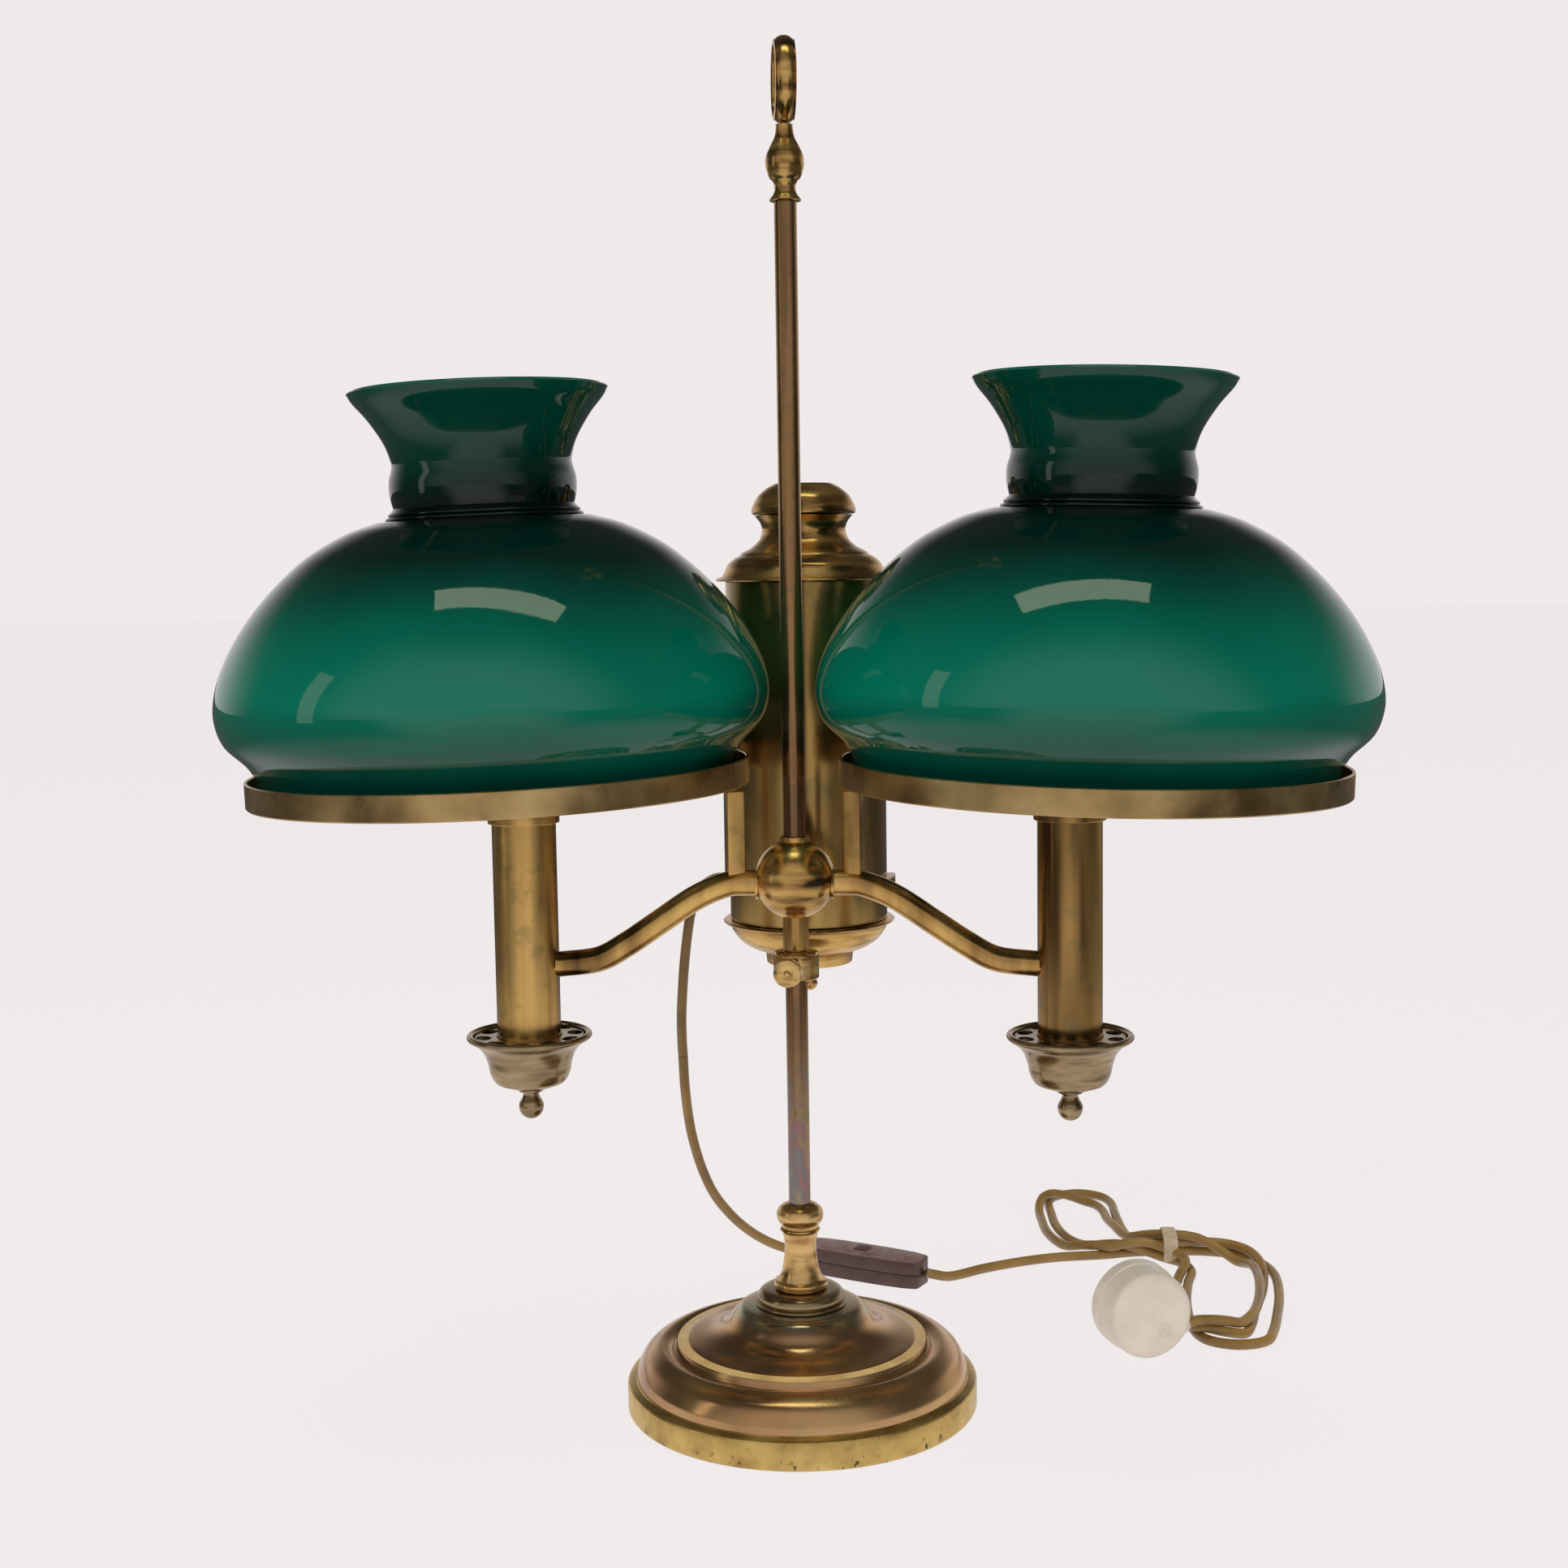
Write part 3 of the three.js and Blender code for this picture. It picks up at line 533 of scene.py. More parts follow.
def make_rod_brass():
    """The rod: coppery above, and stained green, blue and purple near its foot."""
    look = brass(
        "rod_brass", (0.46, 0.28, 0.12), (0.32, 0.18, 0.08), (0.16, 0.09, 0.05), 0.17, (1, 1, 0.05), 0.45, 90,
    )
    colour = look.base()
    stain = look.ramp(
        look.noise(95, 4, (1, 1, 0.5)),
        (0.3, GREEN_TARNISH), (0.42, (0.34, 0.26, 0.14)), (0.5, PURPLE_TARNISH), (0.58, BLUE_TARNISH),
        (0.7, (0.42, 0.3, 0.14)),
    )
    low = look.level(look.height(), 205, 140)
    look.colour(look.mix(look.math("MULTIPLY", low, 0.85), colour, stain))
    return look.material


def make_base_brass():
    """The base: pinkish bronze with a pale green bloom on the bell's shoulder."""
    look = brass(
        "base_brass", (0.8, 0.5, 0.21), (0.6, 0.36, 0.14), (0.36, 0.2, 0.08), 0.15, EVENLY, 0.15, 15,
    )
    colour = look.base()
    iris = look.ramp(
        look.noise(26, 3), (0.36, PINK_BRONZE), (0.5, (0.46, 0.24, 0.2)), (0.62, (0.4, 0.31, 0.17)),
    )
    colour = look.mix(0.28, colour, iris)
    shoulder = look.level(look.height(), 46, 52.5)
    patches = look.level(look.noise(60, 4), 0.38, 0.62, 0.25, 0.8)
    bloom = look.math("MULTIPLY", shoulder, patches)
    look.colour(look.mix(bloom, colour, VERDIGRIS))
    return look.material


def make_skirt_brass():
    """The base's skirt: gold, rubbed, with dark pits and scratches low down."""
    look = brass(
        "skirt_brass", (0.8, 0.57, 0.19), (0.64, 0.44, 0.14), (0.44, 0.28, 0.09), 0.24, EVENLY, 0.2, 48,
    )
    colour = look.base()
    low = look.level(look.height(), 11, 3)
    pits = look.level(look.noise(210, 5, (1, 1, 0.6), 0.65), 0.6, 0.66, 0, 1)
    marks = look.math("MULTIPLY", low, pits)
    look.colour(look.mix(marks, colour, (0.1, 0.08, 0.06)))
    return look.material


rod_brass = make_rod_brass()
base_brass = make_base_brass()
skirt_brass = make_skirt_brass()


def make_green_glass():
    """Deep green glass painted by height: a painted glow low in the bowl, painted shade over the top of the
    bowl, and darkest in its thick neck.
    """
    look = Look("green_glass", IOR=1.46)
    height = look.height()
    swirl = look.noise(9, 3, (1, 1, 0.5))
    warped = look.math("ADD", height, look.math("MULTIPLY", look.math("SUBTRACT", swirl, 0.5), 26))
    band = look.level(warped, 326, 531)
    # The ramp paints light by height: a painted glow low in the bowl and painted shade over its top; the neck
    # is thick, darker glass as well.
    look.colour(look.ramp(
        band,
        (0, (0, 0.035, 0.023)), (0.05, (0, 0.085, 0.052)), (0.16, (0.001, 0.15, 0.092)),
        (0.34, (0, 0.095, 0.058)), (0.52, (0, 0.036, 0.023)), (0.64, (0, 0.01, 0.007)),
        (0.8, (0, 0.003, 0.003)), (0.9, (0, 0.024, 0.016)), (1, (0, 0.06, 0.036)),
    ))
    look.rough(look.level(look.noise(40, 4), 0.35, 0.75, 0.025, 0.06))
    ripples = look.math("ADD", look.noise(14, 2), look.math("MULTIPLY", look.noise(700, 2), 0.02))
    look.bump(ripples, 0.0012, 0.22)
    return look.material


def moulded(name, light, dark, roughness, scale=60, grain=900, coat=0, depth=0.00006):
    """Moulded plastic, rubber or glaze: slight mottling, a fine grain and rubbed patches."""
    look = Look(name, Coat_Weight=coat, Coat_Roughness=0.1)
    clouds = look.noise(scale, 4)
    look.colour(look.ramp(clouds, (0.32, dark), (0.68, light)))
    look.rough(look.level(look.noise(scale * 3, 4), 0.35, 0.7, roughness, roughness + 0.15))
    look.bump(look.noise(grain, 3), depth, 0.35)
    return look.material


def make_cord_look():
    """The cord's smooth gold-brown sheath, with scuffs and a dusty bloom."""
    look = Look("cord_sheath", Coat_Weight=0.25, Coat_Roughness=0.2)
    clouds = look.noise(34, 5)
    colour = look.ramp(
        clouds, (0.3, (0.19, 0.105, 0.025)), (0.5, (0.28, 0.16, 0.04)), (0.7, (0.36, 0.215, 0.06)),
    )
    dust = look.level(look.noise(150, 5), 0.6, 0.74, 0, 0.2)
    look.colour(look.mix(dust, colour, (0.5, 0.38, 0.24)))
    look.rough(look.level(clouds, 0.3, 0.7, 0.3, 0.48))
    look.bump(look.noise(260, 3), 0.0002, 0.3)
    return look.material


def speckled(name, scale, dark, light, grain, depth, **values):
    """Felt or rough iron: two colours in fine specks, and a grain given as its scale and detail."""
    look = Look(name, **values)
    look.colour(look.ramp(look.noise(scale, 6), (0.35, dark), (0.65, light)))
    look.bump(look.noise(*grain), depth, 0.6)
    return look.material


def make_steel_look():
    look = Look("steel", Metallic=1)
    clouds = look.noise(120, 5)
    look.colour(look.ramp(clouds, (0.35, (0.32, 0.31, 0.29)), (0.65, (0.55, 0.54, 0.52))))
    look.rough(look.level(clouds, 0.3, 0.7, 0.3, 0.45))
    return look.material


green_glass = make_green_glass()
bulb_glass = moulded("bulb_glass", (0.86, 0.84, 0.79), (0.74, 0.72, 0.67), 0.25, 30, 600, 0.4)
porcelain = moulded("porcelain", (0.8, 0.77, 0.7), (0.66, 0.63, 0.56), 0.2, 40, 300, 0.5)
brown_plastic = moulded("brown_plastic", (0.105, 0.052, 0.043), (0.07, 0.034, 0.028), 0.34, 70, 1300, 0.15)
# Lighter brown for the switch's top face: painted light on the face turned up to the lamps.
painted_top_light_brown = moulded("painted_top_light_brown_plastic", (0.3, 0.2, 0.18), (0.18, 0.11, 0.095), 0.42, 120, 1300)
white_plastic = moulded("white_plastic", (0.8, 0.72, 0.6), (0.7, 0.61, 0.49), 0.32, 50, 1200, 0.3)
tie_look = moulded("tie_band", (0.62, 0.5, 0.34), (0.48, 0.37, 0.24), 0.55, 200, 1600)
cord_look = make_cord_look()
felt = speckled(
    "felt", 300, (0.03, 0.07, 0.04), (0.07, 0.14, 0.09), (1500, 4), 0.0006, Roughness=0.95, Sheen_Weight=0.4,
)
cast_iron = speckled(
    "cast_iron", 80, (0.05, 0.045, 0.04), (0.13, 0.11, 0.1), (500, 5), 0.0005, Metallic=0.6, Roughness=0.7,
)
steel = make_steel_look()

# ---- Cord, with its switch, tie and plug ----

CORD_TOP_ROUTE = [
    (-45.3, 131.2, 259.6), (-49, 132.8, 259.9), (-56.2, 136.2, 258.6), (-63.4, 139.2, 254),
    (-68.4, 140.8, 246.5), (-71.8, 141.6, 235.6), (-74.8, 143, 217), (-77, 145.2, 198), (-78.8, 148, 176),
    (-79.2, 151, 159), (-79, 152.4, 150.2),
]
CORD_DROP_ROUTE = [
    (-79, 152.5, 149.8), (-78.6, 155, 131), (-77.4, 159.4, 112), (-75.4, 163.8, 96), (-71.4, 170.4, 77),
    (-65.4, 178.8, 58.6), (-57.4, 188, 43.6), (-48.4, 197.6, 31), (-39, 206.2, 21.4), (-29.8, 212.4, 14.8),
    (-20.8, 216.4, 10.6), (-11.8, 215.9, 8.7),
]
# Out of the switch and along the floor to the hank.
LEAD_ROUTE = [
    (63.9, 180.6, 8.6), (70, 181.8, 7), (77, 186.6, 4.4), (86, 195.6, 3), (96.6, 204.4, 3), (108.5, 212, 3),
    (121, 219, 3), (134, 225, 3), (146, 229.2, 3), (153.6, 231, 3),
]
# One turn of the hank as seen from above: out of the tie, round the front end, back through the
# tie, round the rear end and in again.
FRONT_END = [
    (220, 242.5), (237, 243.5), (254, 238.5), (267, 224), (272, 200), (268, 165), (260, 130), (254, 104),
    (247.5, 89), (232, 83), (216.5, 89), (210, 104), (209.5, 130), (213, 156), (219, 184), (224.5, 205),
    (220, 222), (206, 231),
]
REAR_END = [
    (187, 234.5), (168, 243), (153, 260), (145, 286), (142.5, 315), (142, 338), (148.4, 353.4), (163, 360),
    (177.6, 353.4), (184, 338), (185.5, 315), (188, 289), (191, 271), (196.5, 257), (206, 248),
]
# How far each turn's front and rear end are moved from the ones above, and its lane in the tie.
HANK_TURNS = [((7, -3), (4, 7), 1), ((-4, 7), (-3, -9), -0.5)]
HANK_START = [(175, 235), (196, 241)]
HANK_FINISH = [
    (217, 241), (232, 240), (246.5, 234.5), (257.5, 223), (263.5, 206), (264, 182), (260, 148), (252.5, 117),
    (243, 100), (231, 90.5), (218.5, 85.4), (205.6, 80.6),
]
HANK_FLOOR_Z = 3  # height of the cord's middle where it lies on the floor
HANK_STEP = 4
PLUG_ENTRY_Z = 12.8
PLUG_RISE = 46  # the last stretch, over which the cord comes up to the plug
CROSSING_REACH = 26  # half the length of the hump with which the cord crosses itself
CLEARANCE = 0.3  # between two strands that cross
NEIGHBOURS = 5  # points of the path this near along it don't count as crossing
LIFT_PASSES = 8
TUBE_SIDES = 20
TIE_CENTRE = (216, 236, 9.6)
TIE_HALF_WIDTH = 14.3
TIE_HALF_HEIGHT = 8.6
TIE_STEPS = 96


def length_of(points):
    return sum((Vector(b) - Vector(a)).length for a, b in zip(points, points[1:]))


def evenly(points, step):
    """Points at equal steps along a line."""
    points = [Vector(point) for point in points]
    total = length_of(points)
    count = max(2, round(total / step))
    result, index, walked = [points[0]], 0, 0
    for number in range(1, count):
        goal = total * number / count
        while walked + (points[index + 1] - points[index]).length < goal:
            walked += (points[index + 1] - points[index]).length
            index += 1
        ahead = points[index + 1] - points[index]
        result.append(points[index] + ahead * ((goal - walked) / ahead.length))
    return result + [points[-1]]


def lifted_over_itself(flat, floor):
    """Raises the later of two strands where they cross, in low humps that a few passes settle."""
    count = len(flat)
    places = np.array([(point.x, point.y) for point in flat])
    heights = np.array(floor, dtype=float)
    apart = np.linalg.norm(places[:, None] - places[None, :], axis=2)
    index = np.arange(count)
    later = (index[:, None] - index[None, :]) > NEIGHBOURS
    near = later & (apart < 2 * CORD_R + CLEARANCE)
    lift = np.sqrt(np.maximum((2 * CORD_R + CLEARANCE) ** 2 - apart ** 2, 0))
    along = np.abs(index[:, None] - index[None, :]) * HANK_STEP
    hump = np.cos(np.minimum(along / CROSSING_REACH, 1) * math.pi / 2) ** 2
    for _ in range(LIFT_PASSES):
        needed = np.where(near, heights[None, :] + lift, 0).max(axis=1)
        extra = np.maximum(needed - floor, 0)
        shaped = floor + (hump * extra[None, :]).max(axis=1)
        heights = np.maximum(heights, shaped)
    return heights


def shifted(route, shift, lane):
    """Moves the far end of a lobe by the whole shift, and its two ends at the tie by the lane alone."""
    tie = Vector(TIE_CENTRE[:2])
    farthest = max((Vector(point) - tie).length for point in route)
    result = []
    for point in route:
        share = min(1, (Vector(point) - tie).length / farthest * 1.4)
        result.append((point[0] + shift[0] * share, point[1] + shift[1] * share + lane * (1 - share)))
    return result


def hank_route():
    """The hank's turns one after the other, from the lead to the plug."""
    route = list(HANK_START)
    for front_shift, rear_shift, lane in HANK_TURNS:
        route += shifted(FRONT_END, front_shift, lane) + shifted(REAR_END, rear_shift, lane)
    return route + HANK_FINISH


def hank_path():
    """The lead and the hank as one line, from the switch to the plug."""
    lead = evenly(spline(LEAD_ROUTE, 8), HANK_STEP)
    hank_start = (LEAD_ROUTE[-1][0], LEAD_ROUTE[-1][1], HANK_FLOOR_Z)
    hank = [hank_start] + [(x, y, HANK_FLOOR_Z) for x, y in hank_route()]
    hank = evenly(spline(hank, 10), HANK_STEP)
    whole = lead[:-1] + hank
    floor = [point.z for point in whole]
    for back in range(int(PLUG_RISE / HANK_STEP) + 1):
        part = 1 - back * HANK_STEP / PLUG_RISE
        rise = (PLUG_ENTRY_Z - HANK_FLOOR_Z) * (3 * part ** 2 - 2 * part ** 3)
        floor[-1 - back] += max(rise, 0)
    heights = lifted_over_itself(whole, np.array(floor))
    return [Vector((point.x, point.y, height)) for point, height in zip(whole, heights)]


def add_cord(name, path, body, nodes):
    piece = make_mesh(name, swept(path, circle(CORD_R, TUBE_SIDES)))
    piece.data.materials.append(cord_look)
    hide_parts(*nodes)
    if body:
        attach(piece, body)
    return piece


# The switch lies behind the base, its halves and its rocker in a frame of their own.
SWITCH_PLACE = Matrix.Translation((26, 198.3, 0)) @ rotation(-25.2, "Z")
SWITCH_HALF_LENGTH = 40
SWITCH_HALF_WIDTH = 12
SWITCH_SPLIT_Z = 8.5
SWITCH_TOP_Z = 17
ROCKER_PIVOT_Z = 12
ROCKER_TILT = 8  # degrees


def switch_plan(spare=0):
    """The housing's plan: nearly straight sides that draw in a little towards the cord."""
    half, side = SWITCH_HALF_LENGTH, SWITCH_HALF_WIDTH
    quarter = [(half, side - 5.4), (half - 0.5, side - 4.2), (half - 1.8, side - 3.2)]
    quarter += [(half * 0.78, side - 1.3), (half * 0.5, side - 0.3), (half * 0.2, side)]
    right_top = quarter
    left_top = [(-x, y) for x, y in reversed(quarter)]
    left_bottom = [(-x, -y) for x, y in quarter]
    right_bottom = [(x, -y) for x, y in reversed(quarter)]
    plan = right_top + left_top + left_bottom + right_bottom
    return inset(plan, spare) if spare else plan


def switch_half(bottom, top, soft_top):
    softness = 1.1 if soft_top else 0.25
    lower = 0.25 if soft_top else 1.1
    layers = [
        (switch_plan(lower), bottom), (switch_plan(lower * 0.3), bottom + lower * 0.3),
        (switch_plan(), bottom + lower), (switch_plan(), top - softness),
        (switch_plan(softness * 0.3), top - softness * 0.3), (switch_plan(softness), top),
    ]
    return stacked(layers)


def rocker_shape():
    """A rocker with a low ridge across its top, that rests pressed down on one side."""
    half = 7.1
    right = [(2.4, 10), (half, 14.6), (half - 0.4, 17.4)]
    left = [(-x, z) for x, z in reversed(right)]
    outline = rounded([left[-1], *right, (0, 18.4), *left[:-1]], 0.6)
    layers = [(inset(outline, 0.4), -4.3), (outline, -3.9), (outline, 3.9), (inset(outline, 0.4), 4.3)]
    block = moved(stacked(layers), rotation(90, "X"))
    pivot = Matrix.Translation((0, 0, ROCKER_PIVOT_Z))
    return moved(block, pivot @ rotation(ROCKER_TILT, "Y") @ pivot.inverted())


def add_switch():
    base = add("switch_base", moved(switch_half(0.1, SWITCH_SPLIT_Z, False), SWITCH_PLACE), brown_plastic)
    frame_rim = soft_box((18.4, 12, 0.9), (0, 0, SWITCH_TOP_Z + 0.1), 0.3)
    cover_shape = together(switch_half(SWITCH_SPLIT_Z + 0.3, SWITCH_TOP_Z, True), frame_rim)
    cover = add("switch_cover", moved(cover_shape, SWITCH_PLACE), brown_plastic, painted_top_light_brown)
    # The cover's top face gets the lighter brown: painted light.
    paint(cover, 1, lambda radius, height: height > SWITCH_TOP_Z - 0.4)
    rocker = add("switch_rocker", moved(rocker_shape(), SWITCH_PLACE), brown_plastic)
    return [base, cover, rocker]


PLUG_CENTRE = (185, 71.9, 25.5)
PLUG_PLACE = Matrix.Translation(PLUG_CENTRE) @ rotation(20, "Z")
PLUG_R = 25.4
PLUG_HALF = 13
# Name, place across and up, width, height and length of each pin.
PLUG_PINS = (
    ("earth", 0, 10, 4, 8, 22), ("live", 11, -10, 6.4, 4, 17.7), ("neutral", -11, -10, 6.4, 4, 17.7),
)
PLUG_SCREW = (7, -8)  # the screw's place across and up
GROMMET_PLACE = Matrix.Translation((22, 1.2, PLUG_ENTRY_Z - PLUG_CENTRE[2])) @ rotation(74, "Y")


def plug_shape():
    """A round body with a raised, softly edged cap, and a grip line round its waist."""
    profile = [(0, -PLUG_HALF)] + [(15, -PLUG_HALF)] + arc(PLUG_R - 5.4, -PLUG_HALF + 4.2, 4.2, -90, -10, 8)
    profile += [(PLUG_R - 1, -4), (PLUG_R - 0.6, 3), (PLUG_R - 1, 3.5), (PLUG_R - 1, 4.3)]
    profile += [(PLUG_R - 0.1, 4.8)]
    profile += arc(PLUG_R - 1.1, PLUG_HALF - 1, 1, 0, 90, 4) + [(0, PLUG_HALF)]
    body = moved(turned(profile, 64, closed=False), rotation(-90, "X"))
    x, z = PLUG_SCREW
    screw = turned([(0, 0.5), (3.3, 0.5), (3.6, 0.2), (3.6, -1), (0, -1)], 24, closed=False)
    screw = moved(screw, Matrix.Translation((x, -PLUG_HALF, z)) @ rotation(90, "X"))
    slot_bar = soft_box((5.6, 0.5, 0.9), (x, -PLUG_HALF - 0.55, z), 0.15, rotation(35, "Y"))
    return together(body, screw, slot_bar)


def entry_grommet():
    """The short sleeve by which the cord enters the plug."""
    profile = [(CORD_R + 0.1, -4), (4.9, -4), (4.9, 1), (4.3, 4.5), (3.5, 6.2), (CORD_R + 0.1, 6.2)]
    return moved(turned(profile, 32), PLUG_PLACE @ GROMMET_PLACE)


def add_plug():
    body = add("plug_body", together(moved(plug_shape(), PLUG_PLACE), entry_grommet()), white_plastic)
    pieces = [body]
    for name, x, z, width, height, length in PLUG_PINS:
        pin = soft_box((width, length, height), (x, PLUG_HALF + 0.3 + length / 2, z), 0.5)
        pieces.append(add("plug_pin_" + name, moved(pin, PLUG_PLACE), bright_brass))
    return pieces


def add_tie():
    """A strap wound round the waist of the hank."""
    x, y, z = TIE_CENTRE
    section = [(-4.4, 0), (-3.6, 0.7), (3.6, 0.7), (4.4, 0), (3.6, -0.2), (-3.6, -0.2)]
    outlines = []
    for step in range(TIE_STEPS):
        angle = 2 * math.pi * step / TIE_STEPS
        across = math.copysign(abs(math.cos(angle)) ** 0.55, math.cos(angle))
        up = math.copysign(abs(math.sin(angle)) ** 0.75, math.sin(angle))
        point = Vector((x, y + TIE_HALF_WIDTH * across, z + TIE_HALF_HEIGHT * up))
        outward = Vector((0, point.y - y, (point.z - z) * 1.4)).normalized()
        outlines.append([point + Vector((1, 0, 0)) * along + outward * out for along, out in section])
    return add("cord_tie", lofted(outlines, ring=True), tie_look)


switch_pieces = add_switch()
plug_pieces = add_plug()
tie_piece = add_tie()

top_path = spline(CORD_TOP_ROUTE, 8)
drop_path = spline(CORD_DROP_ROUTE, 8)
lead_path = hank_path()
cord_top = add_cord("cord_top_flex", top_path, None, ["cord_top"])
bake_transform(cord_top)
cord_drop = add_cord("cord_drop_flex", drop_path, None, ["cord_drop"])
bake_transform(cord_drop)
cord_lead = add_cord("cord_lead_flex", lead_path, "base", ["cord_lead", "cord_bundle"])

# ---- Base and stem ----

SHELL_TOP_Z = 53.6
SKIRT_TOP_Z = 16.3
SKIRT_INNER_R = 85
BRIGHT_RING = (60.2, 65.4)  # inner and outer radius of the flat step, painted lighter as a painted highlight
BRIGHT_RING_Z = 34.9
FINIAL_TOP_Z = 658.3
RING_HANDLE_Z = 680


def add_base():
    skirt = [(91.3, 0), (92, 1), (92, 13.2), (91.4, 14.4), (89.8, 15.2), (87.6, 15.6), (87.1, 16.2)]
    torus = curve2([(87.1, 17), (85.9, 22), (82, 28.4), (75.5, 32.4), (70.5, 32.3), (67.4, 30.9)])
    step = [(66.4, 31.2), (66, 32), (65.9, 34.4), (65.4, 35.1), (60.2, 35.9), (59.8, 36.2)]
    bell = curve2([(59.2, 36.4), (48, 38.4), (40.5, 42.4), (35.6, 48.6), (31.4, 52.6), (26, 53.5)])
    outer = skirt + torus + step + bell + [(5, SHELL_TOP_Z)]
    shell = add("base_shell", turned(wall(outer, SHEET)), base_brass, skirt_brass, painted_highlight_gold)
    paint(shell, 1, lambda radius, height: height < SKIRT_TOP_Z and radius > SKIRT_INNER_R)
    # The flat step gets the lighter brass: a painted highlight.
    low, high = BRIGHT_RING
    paint(shell, 2, lambda radius, height: low < radius < high and height > BRIGHT_RING_Z)

    seat = [(5, 53.9), (23.2, 53.9), (23.8, 54.3), (23.5, 54.8), (21.9, 55)]
    seat += arc(18.6, 57.4, 4.1, -36, 66) + [(18.4, 61.5), (17, 61.6), (5, 61.6)]
    add("stem_seat", turned(seat), dark_brass)

    foot = [(5, 61.9), (13.2, 61.9), (14, 62.5), (14.1, 63.6), (13.5, 64.2), (14, 64.8), (13.8, 65.6)]
    foot += [(12.6, 65.9)]
    neck = curve2([(11.9, 66.6), (9.9, 71), (8.6, 79), (8.3, 86), (9.4, 92)])
    collar = [(10.2, 92.6), (10.5, 93.3), (10.2, 94), (9.5, 94.4)]
    bulb = arc(6.4, 101, 5.9, -54, 76) + [(7.2, 107.2), (5.9, 107.3), (5, 107.2)]
    add("stem_foot", turned(foot + neck + collar + bulb, SLIM), bright_brass)


def add_rod():
    profile = [(0, 4), (4.7, 4), (4.7, 107.6), (ROD_R, 107.6), (ROD_R, ROD_TOP_Z)]
    profile += [(2.8, ROD_TOP_Z), (2.8, 632), (0, 632)]
    add("rod", turned(profile, SLIM, closed=False), rod_brass)

    flange = [(0, 633), (3.1, 633), (3.1, 620.9), (7.4, 620.9), (8, 621.3), (7.9, 622), (7.2, 622.8)]
    waist = curve2([(6.4, 623.6), (5.4, 626), (5.5, 629), (6.6, 631.4)])
    ball = [(8.5, 633.8), (9.7, 638.6), (9.3, 643.2), (7.2, 648), (5, 652.4), (4.3, 657), (4.4, FINIAL_TOP_Z)]
    outline = flange + waist + [(7.6, 632)] + curve2(ball) + [(0, FINIAL_TOP_Z)]
    add("finial", turned(outline, SLIM, closed=False), turned_brass)

    band = rounded([(16.6, -4.6), (17.6, -5.4), (19.6, -5)], 0.6, closed=False) + arc(15.4, 0, 5.9, -54, 54)
    band += rounded([(19.6, 5), (17.6, 5.4), (16.6, 4.6), (16.3, 0)], 0.6, closed=False)
    place = Matrix.Translation((0, 0, RING_HANDLE_Z)) @ rotation(8, "Z") @ rotation(90, "Y")
    add("ring_handle", moved(turned(band, 96), place), turned_brass)


add_base()
add_rod()

# ---- Collar, thumb screw and hub ----

SCREW_DIRECTION = Vector((-0.132, -0.991, 0)).normalized()
SCREW_Z = 233.5
KNURLS = 44
KNURLED_FROM_R = 7.2
KNURL_DEPTH = 0.955  # the radius of a notch as a share of the full one
ARM_Z = 276.8  # height of the arms and the tank's bar where they leave the hub


def add_collar_and_screw():
    collar = [(6, 227), (11.2, 227), (11.8, 227.6), (11.8, 239.2)]
    collar += arc(9.8, 239.2, 2, 0, 80, 8) + [(9.2, 241.5), (6, 241.5)]
    add("clamp_collar", turned(collar, SLIM), bright_brass)

    profile = [(0, 6), (2.6, 6), (2.6, 14.6), (4.2, 15.2), (4.6, 16), (4.6, 18.8), (6.9, 19), (7.4, 19.5)]
    profile += [(7.4, 23.4), (6.9, 24.2), (6.2, 24.5), (2.4, 24.5), (1.7, 24.2), (1.4, 24.4), (1, 25)]
    profile += [(0, 25.2)]
    sides = KNURLS * 2
    vertices, faces = turned(profile, sides, closed=False)
    knurled = []
    for x, y, z in vertices:
        radius = math.hypot(x, y)
        notch = round(math.degrees(math.atan2(y, x)) / (360 / sides)) % 2
        scale = KNURL_DEPTH if radius > KNURLED_FROM_R and notch else 1
        knurled.append((x * scale, y * scale, z))
    place = Matrix.Translation((0, 0, SCREW_Z)) @ pointed(SCREW_DIRECTION)
    add("thumb_screw", moved((knurled, faces), place), bright_brass)


def add_hub():
    add("hub_sleeve", turned(sleeve(6, 6.65, 241.8, 268, 0.1), SLIM), tube_brass)
    ball = [(6.95, 259.5)] + arc(0, HUB_Z, HUB_R, -68, 69, 40) + [(7.6, 299), (7.4, 301), (6.9, 301.3)]
    ball += [(6, 301.1), (6, 268.3), (6.95, 268.3)]
    washers = []
    for _, side in SIDES:
        place = Matrix.Translation((side * 18.8, 0, ARM_Z)) @ rotation(side * 90, "Y")
        washers.append(moved(turned(sleeve(6.8, 8.5, 0, 1.5, 0.4), 48), place))
    add("hub_ball", together(turned(ball, 96), *washers), turned_brass)


add_collar_and_screw()
add_hub()

# ---- The two arms with what they carry ----

ARM_R = 6.65
ARM_ROUTE = [
    (17.3, ARM_Z), (25, ARM_Z), (35.5, 276), (52, 269), (72.4, 255.4), (88, 245), (103, 237), (122, 234.5),
    (125.2, 234.5),
]
POST_X = 31
POST_WIDTH = 9.1
POST_FOOT_Z = 281.6
POST_TURN = 18  # degrees about the post's own axis
BURNER_R = 16.65
BURNER_FOOT_Z = 180
BURNER_TOP_Z = 318
PLATE_R = 28.3
VENTS = 10
VENT_R = 24  # how far a vent's middle is from the burner's axis
VENT_HALF_DEPTH = 4
VENT_HALF_WIDTH = 5.2
CUP_RIM_Z = 198
RING_R = 129.3
RING_Z = 325
RING_TOP_Z = 338.5
RING_LEAN = 1.7  # degrees by which each ring and its shade lean outwards
SPIDER_HUB_R = 18.6
SPIDER_HUB_BOTTOM_Z = 309
LEG_ANGLES = (90, 212, 328)
LEG_START_R = 17.8
LEG_END_R = 116.8
LEG_WIDTH = 8
LEG_HEIGHT = 3
GLASS = 3.5


